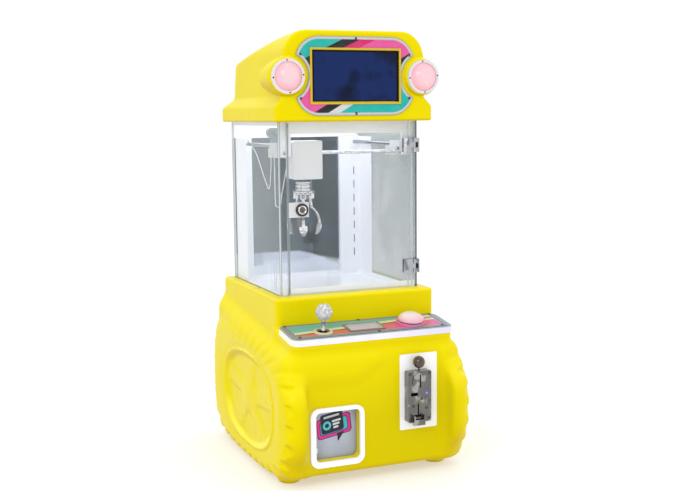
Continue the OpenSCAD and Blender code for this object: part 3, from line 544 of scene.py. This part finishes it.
# painted shade: darker towards the ball's outline
ball_clear.paint(ball_clear.facing(0.5).ramp(0.6, 0.95) * 0.5, (0.45, 0.45, 0.46))
ball_clear.bump(ball_clear.noise(160.0, 3.0), 0.5, 0.0015)
window_look = plastic("window_lilac", (0.47, 0.44, 0.56), 0.22, (0.52, 0.47, 0.53))
window_x, window_y, window_z = window_look.xyz()
window_v = panel_along(window_y, window_z)
window_edge = (window_x + 8.0).abs().ramp(41.9, 42.1).max((window_v + 59.0).abs().ramp(20.9, 21.1))
window_look.paint(window_edge, (0.17, 0.19, 0.21))
gold = plastic("frame_gold", (0.62, 0.43, 0.008), 0.3, (0.50, 0.34, 0.004))
mirror = mirror_look()
plate = plate_look()
panel = panel_look()
screen = screen_look()
flap = flap_look()


def lock_look():
    """White lock body with a dark ring, and a collar around the barrel painted with a highlight on its left and shade
    on its right.
    """
    look = plastic("lock_white", (0.66, 0.665, 0.67), 0.3)
    x, y, z = look.xyz()
    r = length(x - LOCK_X, z - LOCK_Z)
    front = y.below(-121.9)
    look.paint(r.below(16.2) * front, (0.015, 0.016, 0.018))
    # painted highlight on the collar's left, painted shade on its right
    look.paint(inside(r, 9.0, 12.6) * front * (x + z * 0.6).above(270.0).invert(), (0.62, 0.63, 0.65))
    look.paint(inside(r, 9.0, 12.6) * front * (x - z * 0.3).above(-322.0), (0.30, 0.31, 0.33))
    return look


def truck_look():
    """Bearing block: pale cast body with painted shade in the screw recesses on its front."""
    look = plastic("truck_grey", (0.56, 0.57, 0.585), 0.36, (0.46, 0.48, 0.50))
    x, y, z = look.xyz()
    face = y.below(-83.8)
    # painted shade: near-black discs in the screw recesses
    for cx, cz in ((159.5, 794.0), (171.5, 804.5), (152.0, 804.5)):
        look.paint(length(x.abs() - cx, z - cz).below(3.6) * face, (0.02, 0.02, 0.022))
    return look


def strip_look():
    """Lit edge strip under the panel: grey on top, with a painted yellow reflection of the shell at its left end."""
    look = Look("strip_lit", (0.66, 0.655, 0.72), 0.35)
    x, _, _ = look.xyz()
    look.paint(look.noise(22.0, 2.0).ramp(0.4, 0.75) * 0.5, (0.60, 0.565, 0.72))
    look.paint(x.ramp(20.0, 190.0) * 0.8, (0.56, 0.53, 0.74))
    # painted reflection: a yellow tint where the strip meets the shell at its left end
    look.paint(x.ramp(-200.0, -215.0) * 0.4, (0.66, 0.65, 0.35))
    _, _, nz = look.normal()
    look.paint(nz.above(0.7), (0.22, 0.26, 0.31))
    look.bump(look.noise(900.0, 2.0), 0.05, 0.0004)
    return look.glow(0.30)


strip_lit = strip_look()
foot_yellow = plastic("foot_yellow", (0.56, 0.45, 0.004), 0.55, (0.46, 0.36, 0.003), 700.0, 0.2)
hinge_metal = metal("hinge_plate", (0.46, 0.48, 0.51), 0.22)
# painted reflections: dark and light patches
hinge_metal.paint(hinge_metal.noise(60.0, 2.0, 0.5, (1.0, 1.0, 0.5)).ramp(0.50, 0.58) * 0.7, (0.13, 0.15, 0.175))
hinge_metal.paint(hinge_metal.noise(48.0, 2.0, 0.5, (1.0, 1.0, 0.5)).ramp(0.42, 0.36) * 0.8, (0.80, 0.82, 0.85))

NODE_LOOKS = (
    (foot_yellow, "foot_pads"),
    (panel, "control_panel"),
    (strip_lit, "panel_light_strip"),
    (metal("screw_dark", (0.10, 0.10, 0.11), 0.3), "pan_screws"),
    (black_plastic, "joystick_housing", "winch_drum", "power_inlet"),
    (cream, "joystick_collar"),
    (steel, "joystick_gimbal", "joystick_shaft", "flap_hinge_rod", "claw_plunger", "rear_hinge"),
    (ball_clear, "joystick_ball"),
    (window_look, "display_unit"),
    (button_pink, "button_housing"),
    (dome_button, "button_dome"),
    (floor_lit, "playfield_tray"),
    (acrylic, "chute_fence"),
    (chute_grey, "prize_chute"),
    (frame_lit, "prize_light_frame"),
    (flap, "prize_flap"),
    (white_paint, "rear_posts", "header_frame"),
    (plate_white, "coin_backplate"),
    (dark_chrome, "coin_faceplate", "door_lock_plug"),
    (blue_plastic, "coin_validator"),
    (knob_metal, "coin_knob"),
    (chrome, "side_rails", "bridge_rods", "claw_body", "claw_finger_1", "claw_finger_2", "claw_finger_3",
     "rear_lock_plug"),
    (hinge_metal, "hinge_mounts", "door_hinges"),
    (galvanised, "cash_box", "hoist_frame"),
    (mirror, "back_mirror"),
    (pane_side, "side_glasses"),
    (ceiling_lit, "ceiling_panel"),
    (truck_look(), "bridge_trucks"),
    (cover_grey, "hoist_cover"),
    (motor_grey, "bridge_motor"),
    (cord_white, "hoist_cord", "rail_loom", "hoist_loom"),
    (pane_front, "door_glass"),
    (lock_look(), "door_lock_case"),
    (white_plastic, "lamp_rings"),
    (yellow, "marquee_shell", "base_shell", "rear_door"),
    (plate, "marquee_plate"),
    (gold, "screen_frame"),
    (screen, "screen_panel"),
    (dome_pink, "lamp_domes"),
    (box_grey, "control_box"),
)
for node_look, *node_names in NODE_LOOKS:
    for node_name in node_names:
        finish_node(node_name, node_look)


# ---------- moulded shells from distance fields, in mm ----------
def smin(a, b, k):
    h = np.clip(0.5 + 0.5 * (b - a) / k, 0.0, 1.0)
    return b + (a - b) * h - k * h * (1.0 - h)


def smax(a, b, k):
    return -smin(-a, -b, k)


def step(v, lo, hi):
    t = np.clip((v - lo) / (hi - lo), 0.0, 1.0)
    return t * t * (3.0 - 2.0 * t)


def lerp(a, b, t):
    return a + (b - a) * t


def tri(v):
    """Triangle wave, period 1, from -1 to 1."""
    return 4.0 * np.abs(v - np.floor(v + 0.5)) - 1.0


def rbox2(u, v, cu, cv, hu, hv, r):
    """Distance to a rectangle with round corners."""
    qu, qv = np.abs(u - cu) - (hu - r), np.abs(v - cv) - (hv - r)
    return np.hypot(np.maximum(qu, 0), np.maximum(qv, 0)) + np.minimum(np.maximum(qu, qv), 0) - r


def block(x, y, z, x0, x1, y0, y1, z0, z1):
    """Distance-like field of a box, negative inside."""
    dx = np.abs(x - (x0 + x1) / 2) - (x1 - x0) / 2
    dy = np.abs(y - (y0 + y1) / 2) - (y1 - y0) / 2
    dz = np.abs(z - (z0 + z1) / 2) - (z1 - z0) / 2
    return np.maximum(np.maximum(dx, dy), dz)


def polygon_field(u, v, pts):
    """Signed distance to a closed polygon."""
    pts = np.array(pts, float)
    best = np.full(np.broadcast(u, v).shape, 1e9)
    sign = np.ones(best.shape)
    n = len(pts)
    for i in range(n):
        (ax, ay), (bx, by) = pts[i], pts[(i - 1) % n]
        ex, ey = bx - ax, by - ay
        if ex == ey == 0:
            continue
        wx, wy = u - ax, v - ay
        t = np.clip((wx * ex + wy * ey) / (ex * ex + ey * ey), 0, 1)
        best = np.minimum(best, (wx - ex * t) ** 2 + (wy - ey * t) ** 2)
        c1, c2, c3 = v >= ay, v < by, ex * wy > ey * wx
        flip = (c1 & c2 & c3) | (~c1 & ~c2 & ~c3)
        sign = np.where(flip, -sign, sign)
    return sign * np.sqrt(best)


def mesh_from_field(name, field, lo, hi, h):
    """Surface-net mesh of field(x, y, z) < 0 over the box lo..hi in mm, at spacing h."""
    axes = [np.arange(a, b + h, h) for a, b in zip(lo, hi)]
    vals = field(axes[0][:, None, None], axes[1][None, :, None], axes[2][None, None, :]).astype(np.float32)
    low = vals < 0
    corners = [(i, j, k) for i in (0, 1) for j in (0, 1) for k in (0, 1)]
    nx, ny, nz = (s - 1 for s in vals.shape)
    count = sum(low[i:i + nx, j:j + ny, k:k + nz].astype(np.int8) for i, j, k in corners)
    cells = np.argwhere((count > 0) & (count < 8))
    ids = np.full((nx, ny, nz), -1, np.int64)
    ids[tuple(cells.T)] = np.arange(len(cells))
    acc, hits = np.zeros((len(cells), 3)), np.zeros(len(cells))
    for a in range(8):
        for axis in range(3):
            if corners[a][axis] == 1:
                continue
            ca = np.array(corners[a])
            cb = ca.copy()
            cb[axis] = 1
            va, vb = vals[tuple((cells + ca).T)], vals[tuple((cells + cb).T)]
            cross = (va < 0) != (vb < 0)
            t = np.where(cross, va / np.where(cross, va - vb, 1.0), 0.0)
            p = ca + np.outer(t, cb - ca)
            acc += np.where(cross[:, None], p, 0.0)
            hits += cross
    points = (np.array(lo) + h * (cells + acc / hits[:, None])) * MM
    quads = []
    for axis in range(3):
        u, v = [(1, 2), (2, 0), (0, 1)][axis]
        a = [slice(None)] * 3
        b = [slice(None)] * 3
        a[axis], b[axis] = slice(0, -1), slice(1, None)
        flips = np.argwhere(low[tuple(a)] != low[tuple(b)])
        keep = (flips[:, u] > 0) & (flips[:, v] > 0)
        keep &= (flips[:, u] < ids.shape[u]) & (flips[:, v] < ids.shape[v])
        flips = flips[keep]
        loop = []
        for du, dv in ((0, 0), (-1, 0), (-1, -1), (0, -1)):
            c = flips.copy()
            c[:, u] += du
            c[:, v] += dv
            loop.append(ids[tuple(c.T)])
        q = np.stack(loop, 1)
        out = low[tuple(flips.T)]
        q[~out] = q[~out][:, ::-1]
        quads.append(q)
    quads = np.concatenate(quads)
    quads = quads[(quads >= 0).all(1)]
    me = bpy.data.meshes.new(name)
    me.vertices.add(len(points))
    me.vertices.foreach_set("co", points.astype(np.float32).ravel())
    me.loops.add(quads.size)
    me.loops.foreach_set("vertex_index", quads.astype(np.int32).ravel())
    me.polygons.add(len(quads))
    me.polygons.foreach_set("loop_start", np.arange(0, quads.size, 4, dtype=np.int32))
    me.polygons.foreach_set("use_smooth", np.ones(len(quads), bool))
    me.update(calc_edges=True)
    me.validate()
    o = bpy.data.objects.new(name, me)
    bpy.context.scene.collection.objects.link(o)
    return o


POD_A, POD_N, POD_CZ = 320.0, 3.1, 174.0    # the pods' outline: half length, roundness, middle height
LUG_PITCH = 52.0
POCKETS = (-15.0, 57.0, 129.0, 201.0, 273.0)  # directions of the rim's five pockets, degrees


def pod_arc_table():
    """Direction from the pod's middle against the run along its outline, counted in lugs."""
    t = np.linspace(-math.pi, math.pi, 1441)
    c, s = np.cos(t), np.sin(t)
    py = POD_A * np.sign(c) * np.abs(c) ** (2 / POD_N)
    pz = 167.0 * np.sign(s) * np.abs(s) ** (2 / POD_N)
    run = np.concatenate([[0.0], np.cumsum(np.hypot(np.diff(py), np.diff(pz)))])
    ang = np.arctan2(pz, py)
    order = np.argsort(ang)
    laps = round(run[-1] / LUG_PITCH)
    return ang[order], run[order] * laps / run[-1]


ARC_ANGLE, ARC_LAPS = pod_arc_table()


def pod_field(ax, y, z):
    """Wheel pod: tyre outline with tread lugs, bulged sidewall, dished rim with five pockets."""
    up = z - POD_CZ
    b = np.where(up > 0, 163.0 + 0.11 * y, 169.0)
    fy, fz = np.abs(y) / POD_A, np.abs(up) / b
    f = np.maximum(fy ** POD_N + fz ** POD_N, 1e-9) ** (1 / POD_N)
    gy = fy ** (POD_N - 1) / POD_A
    gz = fz ** (POD_N - 1) / b
    slope = np.maximum(np.hypot(gy, gz) * f ** (1 - POD_N), 1e-4)
    outline = np.clip((f - 1.0) / slope, -200.0, 200.0)
    laps = np.interp(np.arctan2(up, y), ARC_ANGLE, ARC_LAPS)
    ry, rz = (y - RIM_Y) / RIM_HALF_Y, (z - RIM_Z) / RIM_HALF_Z
    rr = np.maximum(np.abs(ry) ** 2.5 + np.abs(rz) ** 2.5, 1e-9) ** (1 / 2.5)
    rim = (rr - 1.0) * 125.0
    bulge = np.where(rim > 30.0, 0.0026, 0.007) * (rim > 0)
    side = 246.2 - bulge * (rim - 30.0) ** 2
    wall = step(rim, -2.0, -22.0)
    dish = 230.0 + 10.0 * np.exp(-((rr / 0.27) ** 2)) - 3.0 * rr
    ang = np.degrees(np.arctan2(rz, ry))
    pocket = np.zeros(np.broadcast(ang, rr).shape)
    for a in POCKETS:
        da = (ang - a + 180.0) % 360.0 - 180.0
        width = 15.0 + 12.0 * rr
        near = step(np.abs(da), width + 3.0, width - 15.0) * step(rr, 0.24, 0.48) * step(rr, 0.93, 0.74)
        pocket = np.maximum(pocket, near)
    face = side * (1 - wall) + (dish - 26.0 * pocket) * wall
    d_side = (ax - face) * 0.8
    shape = smax(outline, d_side, 42.0)
    zig = tri(laps)
    tread = step(outline, -30.0 + 8.0 * zig, -14.0 + 8.0 * zig)
    over = step(up, 60.0, 110.0)
    tread = tread * step(ax, lerp(226.0, 186.0, over), lerp(245.0, 206.0, over))
    lug = step(np.cos(2 * math.pi * (laps + 0.006 * (ax - 213.0))), -0.9, 0.1)
    return smax(shape, 190.0 - ax, 22.0) + tread * (4.4 - 6.4 * lug) * (1.0 - 0.45 * over)


# Recesses in the base's front: x from, x to, z from, z to, corner
PRIZE_RECESS = (-176.0, -33.0, 46.5, 195.5, 20.0)
COIN_RECESS = (62.0, 167.5, 112.5, 307.5, 3.0)
FOOT_X, FEET_Y = 200.0, (-192.0, 200.0)


def carved(body, *blocks):
    """body with each box (x, y, z fields, then its limits) cut out."""
    for cut in blocks:
        body = np.maximum(body, -block(*cut))
    return body


def base_field(x, y, z):
    """Base shell: lower body, deck, panel ledge, wheel pods and feet, hollow, with its openings."""
    ax = np.abs(x)
    shoulder = 325.0 + 0.12 * (y + 252.0)
    ledge_z = 254.0 + 62.0 * step(x, -60.0, 62.0)
    brow = 5.0 * np.maximum(step(z, ledge_z - 26.0, ledge_z + 26.0), step(ax, 163.0, 182.0) * step(ax, 225.0, 200.0))
    d_front = -270.0 - y - brow
    ends = smax(d_front, y - 285.0, 20.0)
    lower = smax(smax(smax(ax - 238.0, z - shoulder, 30.0), ends, 34.0), 25.0 - z, 16.0)
    deck = smax(rbox2(ax, y, 0.0, 60.0, 215.0, 220.0, 13.0), z - 446.0, 7.0)
    v, w = panel_along(y, z), panel_above(y, z)
    ledge = smax(rbox2(ax, v, 0.0, -22.0, 205.0, 82.0, 12.0), np.maximum(w + 3.6, -60.0 - w), 4.0)
    chin = smax(rbox2(ax, v, 0.0, -42.0, 214.0, 69.0, 18.0), np.maximum(w + 16.6, -70.0 - w), 5.0)
    body = smin(lower, deck, 26.0)
    body = smin(body, ledge, 3.0)
    body = smin(body, chin, 16.0)
    body = smin(body, pod_field(ax, y, z), 26.0)
    body = smax(body, 8.0 - z, 6.0)
    for foot_y in FEET_Y:
        away = np.hypot(ax - FOOT_X, y - foot_y)
        body = smin(body, smax(smax(away - 29.0, 1.2 - z, 5.0), z - 70.0, 5.0), 12.0)
        body = np.maximum(body, -np.maximum(away - 24.6, z - 6.5))
    hollow = np.maximum(np.maximum(ax - 220.0, np.abs(y - 7.5) - 263.0), np.maximum(37.0 - z, z - shoulder + 26.0))
    upper = np.maximum(rbox2(ax, y, 0.0, 60.0, 203.0, 208.0, 9.0), np.maximum(z - 434.0, 290.0 - z))
    hollow = np.minimum(hollow, upper)
    body = np.maximum(body, -hollow)
    for x0, x1, z0, z1, corner in (PRIZE_RECESS, COIN_RECESS):
        outline = rbox2(x, z, (x0 + x1) / 2, (z0 + z1) / 2, (x1 - x0) / 2, (z1 - z0) / 2, corner)
        body = smax(body, -np.maximum(outline, y + 270.0), 3.0)
    collar = rbox2(x, z, -102.5, 123.0, 61.8, 65.3, 14.0)
    body = np.minimum(body, np.maximum(collar, np.maximum(-268.0 - y, y + 247.0)))
    opening = rbox2(x, z, -102.5, 123.0, 57.8, 61.3, 12.0)
    body = np.maximum(body, -np.maximum(opening, y + 240.0))
    panel_slot = np.maximum(np.maximum(ax - 192.0, np.abs(v + 51.5) - 43.5), np.abs(w + 28.0) - 32.0)
    body = np.maximum(body, -panel_slot)
    at = (x, y, z)
    return carved(
        body,
        (*at, -180.0, 180.0, -107.0, 247.0, 430.0, 460.0),  # under the cabin
        (*at, 83.0, 133.0, -290.0, -250.0, 142.0, 255.0),  # coin unit
        (*at, -118.0, 118.0, 255.0, 300.0, 82.0, 298.0),  # service door
        (*at, 136.0, 164.0, 255.0, 300.0, 98.0, 122.0),  # power inlet
        (*at, 95.0, 152.0, 255.0, 279.5, 146.0, 206.0),  # room for the lock's cam
        *((*at, vx - 4, vx + 4, 255.0, 300.0, 150.0 + 30 * row, 170.0 + 30 * row)
          for vx in (134.0, 150.0, 166.0) for row in range(4)))  # vents


def s_curve(x0, x1, z0, z1, n=10):
    """Points that ease from one corner to the other."""
    return [(lerp(x0, x1, (1 - math.cos(math.pi * i / n)) / 2), lerp(z0, z1, i / n)) for i in range(n + 1)]


def arc(cx, cz, r, a0, a1, n=16):
    ts = [math.radians(lerp(a0, a1, i / n)) for i in range(n + 1)]
    return [(cx + r * math.cos(t), cz + r * math.sin(t)) for t in ts]


# Marquee outlines, seen from the front (x, z) and from the side (y, z)
HALF_FRONT = [(211, 860), (211, 904)] + s_curve(211, 188, 908, 942) + arc(121, 1031.5, 67, 0, 90)
MQ_FRONT = HALF_FRONT + [(-px, pz) for px, pz in reversed(HALF_FRONT)]
MQ_SIDE = [(-161, 860), (279, 860), (279, 903)] + s_curve(279, 237, 907, 942) + [
    (222, 1020), (216, 1028), (207, 1032), (-155, 1098.5), (-161, 1097)]
MQ_WALL = 13.0


def marquee_field(x, y, z):
    """Marquee shell: lantern outline with a stepped lamp bucket at each side, hollow, open below."""
    front = polygon_field(x, z, MQ_FRONT)
    side = polygon_field(y, z, MQ_SIDE)
    r = np.hypot(np.abs(x) - LAMP_X, z - LAMP_Z)
    body = smax(front, side, 7.0)
    for radius, end in ((31.0, -46.0), (38.0, -76.0), (43.0, -104.0)):
        body = smin(body, smax(r - radius, y - end, 7.0), 5.0)
    body = smin(body, smax(r - 31.0 + 0.9 * np.maximum(y + 50.0, 0.0), y + 30.0, 12.0), 5.0)
    body = smax(body, -161.0 - y, 3.0)
    body = np.minimum(body, smax(smax(r - 46.3, y + 134.0, 6.0), -168.0 - y, 3.0))
    hollow = np.maximum(np.maximum(front, side) + MQ_WALL, 889.0 - z)
    body = np.maximum(body, -hollow)
    body = smax(body, 876.2 - z, 2.0)
    at = (x, y, z)
    return carved(
        body,
        (*at, -178.0, 178.0, -98.0, 246.0, 860.0, 895.0),  # over the cabin
        (*at, -115.0, 115.0, -175.0, -140.0, 924.0, 1048.0),  # screen
        *((*at, -60.0 + 20 * i, -50.0 + 20 * i, 195.0, 290.0, 960.0, 1000.0) for i in range(6)))  # vents


GRID = 3.5
for shell_name, shell_field, shell_node, shell_lo, shell_hi in (
    ("base_moulding", base_field, "base_shell", (-255, -325, -6), (255, 325, 450)),
    ("marquee_moulding", marquee_field, "marquee_shell", (-230, -172, 872), (230, 283, 1101)),
):
    shell = mesh_from_field(shell_name, shell_field, shell_lo, shell_hi, GRID)
    shell.data.materials.append(yellow.mat)
    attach(shell, "cabinet")
    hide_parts(shell_node)


# ---------- small pieces ----------
def tube_mesh(name, strands, look, n=8):
    """Round tubes along point lists in mm; each strand is (points, radius)."""
    verts, faces = [], []
    for points, radius in strands:
        pts = np.array(points, float)
        tangent = np.gradient(pts, axis=0)
        tangent /= np.linalg.norm(tangent, axis=1)[:, None]
        u = np.cross(tangent, (0.31, 0.94, 0.11))
        u /= np.linalg.norm(u, axis=1)[:, None]
        w = np.cross(tangent, u)
        first = len(verts)
        for p, a, b in zip(pts, u, w):
            for k in range(n):
                t = 2 * math.pi * k / n
                verts.append((p + radius * (math.cos(t) * a + math.sin(t) * b)) * MM)
        for i in range(len(pts) - 1):
            for k in range(n):
                m = (k + 1) % n
                a, b = first + i * n, first + (i + 1) * n
                faces.append((a + k, a + m, b + m, b + k))
        faces.append(tuple(first + k for k in reversed(range(n))))
        last = first + (len(pts) - 1) * n
        faces.append(tuple(last + k for k in range(n)))
    return new_mesh(name, verts, faces, look)


def new_mesh(name, verts, faces, look, smooth=True):
    me = bpy.data.meshes.new(name)
    me.from_pydata([tuple(v) for v in verts], [], faces)
    me.materials.append(look.mat)
    for poly in me.polygons:
        poly.use_smooth = smooth
    me.update()
    o = bpy.data.objects.new(name, me)
    bpy.context.scene.collection.objects.link(o)
    return o


def spline(points, count):
    """Catmull-Rom curve through the points, evenly spread in parameter."""
    pts = np.array(points, float)
    pts = np.vstack([2 * pts[0] - pts[1], pts, 2 * pts[-1] - pts[-2]])
    out = []
    for s in np.linspace(0, len(points) - 1 - 1e-9, count):
        i, t = int(s), s - int(s)
        a, b, c, d = pts[i:i + 4]
        out.append(0.5 * (2 * b + (c - a) * t + (2 * a - 5 * b + 4 * c - d) * t * t
                          + (3 * b - a - 3 * c + d) * t ** 3))
    return np.array(out)


WIRE_R = 0.75
WIRE_TWISTS = 2.5


def loom(name, route, node, wires, radius, look):
    """Bundle of twisted wires along a route in mm."""
    path = spline(route, 80)
    strands = []
    for k in range(wires):
        phase = 2 * math.pi * (k / wires + np.linspace(0, WIRE_TWISTS, len(path)))
        side = np.stack([np.cos(phase), np.sin(phase), 0 * phase], 1) * (radius - WIRE_R)
        strands.append((path + side, WIRE_R))
    o = tube_mesh(name, strands, look, 6)
    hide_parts(node)
    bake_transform(o)
    return o


# Routes of the two wire bundles, mm: from the left rear post to the bridge, and from the bridge to the hoist
RAIL_LOOM = [(-182.8, y, z) for y, z in (
    (142, 828), (122, 818), (98, 809), (76, 798), (54, 780), (34, 760), (14, 740), (-4, 723),
    (-16, 712), (-24, 708), (-31, 711), (-37, 724), (-42, 748), (-46, 774), (-49, 800))]
HOIST_LOOM = [
    (-172, -40, 787), (-172, -41, 762), (-172.4, -42, 734), (-172.4, -43, 710), (-172.4, -43.5, 694),
    (-172.4, -44, 684), (-172.3, -44, 676), (-172, -44, 669), (-170, -44, 664.2), (-165.2, -44, 662.2),
    (-160.4, -44, 664.2), (-158.4, -44, 669), (-157.7, -44, 676), (-156.6, -44, 684), (-155, -44, 694),
    (-152.4, -44, 706), (-149, -44, 722), (-145, -44, 742), (-141, -44, 762), (-137.5, -45, 780),
    (-135.4, -48, 792)]
sleeved = plastic("cord_sleeved", (0.70, 0.70, 0.73), 0.5, None, 2600.0, 0.5)
sleeve_y = sleeved.xyz()[1]
sleeved.paint(sleeve_y.above(104.0), (0.10, 0.12, 0.15))
sleeved.paint(sleeve_y.above(135.0), (0.55, 0.10, 0.12))
loom("rail_wires", RAIL_LOOM, "rail_loom", 3, 1.4, sleeved)
loom("hoist_wires", HOIST_LOOM, "hoist_loom", 4, 1.6, cord_white)


# the line that holds the claw
LINE_R, LINE_TOP, LINE_END = 0.9, (-102.0, -60.0, 752.6), (-102.0, -60.0, 727.4)
line_route = spline([LINE_TOP, (-102, -60, 744.0), (-102, -60, 736.0), LINE_END], 24)
hoist_line = tube_mesh("hoist_line", [(line_route, LINE_R)], cord_white, 10)
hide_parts("hoist_cord")
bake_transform(hoist_line)


def lathe(name, profile, centre, axis, look, n=40):
    """Solid of revolution: (radius, height) pairs in mm about an axis through centre."""
    turn = Vector(axis).to_track_quat("Z", "Y")
    verts, faces = [], []
    for r, h in profile:
        for k in range(n):
            t = 2 * math.pi * k / n
            verts.append((Vector(centre) + turn @ Vector((r * math.cos(t), r * math.sin(t), h))) * MM)
    for i in range(len(profile) - 1):
        for k in range(n):
            m = (k + 1) % n
            faces.append((i * n + k, i * n + m, (i + 1) * n + m, (i + 1) * n + k))
    faces.append(tuple(reversed(range(n))))
    faces.append(tuple((len(profile) - 1) * n + k for k in range(n)))
    return new_mesh(name, verts, faces, look)


def dress(o, body):
    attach(o, body)
    return o


FRONT = (0, -1, 0)
# Turned pieces: name, (radius, height) profile, centre, axis, look, body, slot
TURNED = (
    ("coin_led", [(2.3, -1), (2.3, 1.0), (2.0, 1.8), (1.2, 2.4), (0.3, 2.6)],
     (126.5, -294, 209), FRONT, led_blue, "cabinet", "dark_chrome"),
    ("lock_bezel", [(12.6, 0), (15.6, 0), (15.8, 1.2), (14.6, 2.2), (13.0, 2.0), (12.6, 0.8)],
     LOCK_FRONT, FRONT, black_plastic, "glass_door", "white_plastic"),
    ("lock_collar", [(7.4, 0), (11.8, 0), (11.6, 1.6), (9.8, 2.4), (7.8, 2.0), (7.4, 0.6)],
     LOCK_FRONT, FRONT, chrome, "glass_door", "white_plastic"),
    ("dust_washer", [(4.1, 0), (7.2, 0), (7.5, 0.5), (7.0, 1.1), (4.1, 1.5)],
     WASHER, PANEL_UP, cream, "joystick_stick", "cream_plastic"),
    ("stick_sleeve", [(4.1, 2), (5.3, 2), (5.5, 3), (5.0, 4), (5.0, 25), (5.6, 26), (5.6, 29), (4.1, 30)],
     STICK, PANEL_UP, chrome, "joystick_stick", "steel"),
    ("button_cap", [(8.2, 0.0), (33.0, 0.0), (33.4, 0.8), (33.3, 3.0), (32.2, 6.4), (30.0, 9.4), (26.4, 12.6),
                    (21.5, 15.6), (15.4, 17.9), (8.5, 19.3), (1.0, 19.8)],
     BUTTON, PANEL_UP, dome_button, "drop_button", "dome_pink"),
)
for piece, profile, centre, axis, piece_look, body_name, slot_name in TURNED:
    dress(lathe(piece, profile, centre, axis, piece_look, 20 if piece == "coin_led" else 40),
                          body_name)
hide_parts("button_dome")


def plate_trim():
    """Raised silver bead just inside the face plate's edge, following its lamp notches."""
    outline = []
    for k in range(720):
        t = 2 * math.pi * k / 720
        ray = np.array([math.cos(t), math.sin(t)])
        lo, hi = 60.0, 200.0
        for _ in range(24):
            mid = (lo + hi) / 2
            px, pz = ray * mid
            edge = rbox2(np.array(px), np.array(pz), 0.0, 0.0, PLATE_HALF_X, PLATE_HALF_Z, PLATE_CORNER)
            notch = 56.0 - math.hypot(abs(px) - LAMP_X, pz - (LAMP_Z - PLATE_Z))
            if max(float(edge), notch) < -4.4:
                lo = mid
            else:
                hi = mid
        outline.append(ray * lo)
    verts, faces = [], []
    section = [(-2.6, 0.0), (-2.0, 1.0), (-0.8, 1.7), (0.8, 1.7), (2.0, 1.0), (2.6, 0.0)]
    m, n = len(outline), len(section)
    for i, p in enumerate(outline):
        d = outline[(i + 1) % m] - outline[i - 1]
        d /= np.linalg.norm(d)
        side = np.array([d[1], -d[0]])
        for off, high in section:
            q = p + side * off
            verts.append((q[0] * MM, (-163.9 - high) * MM, (PLATE_Z + q[1]) * MM))
    for i in range(m):
        for k in range(n):
            a, b = i * n + k, i * n + (k + 1) % n
            c, d = ((i + 1) % m) * n + (k + 1) % n, ((i + 1) % m) * n + k
            faces.append((a, d, c, b))
    return new_mesh("plate_trim", verts, faces, trim_silver)


trim_silver = plastic("trim_silver", (0.54, 0.55, 0.54), 0.28, (0.46, 0.47, 0.46))
dress(plate_trim(), "cabinet")


def bevelled(names, width, angle=35.0):
    """Softens the hard edges of CAD nodes, without touching their meshes."""
    for name in names:
        b = NODES[name].modifiers.new("soft_edges", "BEVEL")
        b.width, b.segments = width * MM, 3
        b.limit_method, b.angle_limit = "ANGLE", math.radians(angle)
        b.harden_normals = False


bevelled(("prize_light_frame",), 2.2)
bevelled(("coin_faceplate", "coin_backplate", "door_lock_case", "bridge_trucks"), 0.8)
bevelled(("hoist_cover",), 1.2, 50.0)


# ---------- floor, lights, camera ----------
def floor_piece():
    me = bpy.data.meshes.new("studio_floor")
    half = 14.0
    me.from_pydata([(-half, -half, 0), (half, -half, 0), (half, half, 0), (-half, half, 0)], [], [(0, 1, 2, 3)])
    o = bpy.data.objects.new("studio_floor", me)
    bpy.context.scene.collection.objects.link(o)
    look = Look("floor_pale", (0.64, 0.64, 0.64), 0.85, Specular_IOR_Level=0.1)
    look.mottle((0.62, 0.62, 0.63), 1.0, 0.3)
    look.glow(0.40, (1.0, 1.0, 1.0))
    me.materials.append(look.mat)


def area_light(name, place, aim, size, power, color=(1, 1, 1)):
    data = bpy.data.lights.new(name, "AREA")
    data.shape, data.size, data.size_y = "RECTANGLE", size[0], size[1]
    data.energy, data.color = power, color
    o = bpy.data.objects.new(name, data)
    o.location = place
    o.rotation_mode = "QUATERNION"
    o.rotation_quaternion = (Vector(aim) - Vector(place)).to_track_quat("-Z", "Y")
    bpy.context.scene.collection.objects.link(o)


def studio():
    floor_piece()
    world = bpy.data.worlds.new("studio")
    bpy.context.scene.world = world
    world.use_nodes = True
    background = world.node_tree.nodes["Background"]
    background.inputs["Color"].default_value = (1.0, 1.0, 1.0, 1.0)
    background.inputs["Strength"].default_value = 1.0
    area_light("key", (-2.2, -2.6, 2.6), (0, 0, 0.5), (1.4, 1.4), 26.0)
    area_light("fill", (2.6, -2.2, 1.4), (0, 0, 0.5), (1.8, 1.8), 3.0)
    area_light("top", (0.2, 0.3, 3.2), (0, 0, 0.5), (2.0, 2.0), 8.0)
    view = bpy.context.scene.view_settings
    view.view_transform = "Standard"
    view.look = "None"
    view.exposure = 0.0


CAMERA_PLACE = (-1.0876, -2.6561, 0.8936)   # m
CAMERA_TURN = (22.7671, 6.8177, -0.5726)    # yaw to the right, pitch down, roll, degrees
CAMERA_LENS = 57.764                        # mm on a 36 mm sensor


def camera():
    yaw, pitch, roll = (math.radians(a) for a in CAMERA_TURN)
    fwd = Vector((math.sin(yaw) * math.cos(pitch), math.cos(yaw) * math.cos(pitch), -math.sin(pitch)))
    right = Vector((math.cos(yaw), -math.sin(yaw), 0.0))
    up = right.cross(fwd)
    r2 = math.cos(roll) * right + math.sin(roll) * up
    u2 = -math.sin(roll) * right + math.cos(roll) * up
    data = bpy.data.cameras.new("camera")
    data.sensor_width, data.lens = 36.0, CAMERA_LENS
    data.clip_start, data.clip_end = 0.1, 60.0
    o = bpy.data.objects.new("camera", data)
    turn = Matrix((r2, u2, -fwd)).transposed().to_4x4()
    o.matrix_world = Matrix.Translation(CAMERA_PLACE) @ turn
    bpy.context.scene.collection.objects.link(o)
    bpy.context.scene.camera = o


studio()
camera()
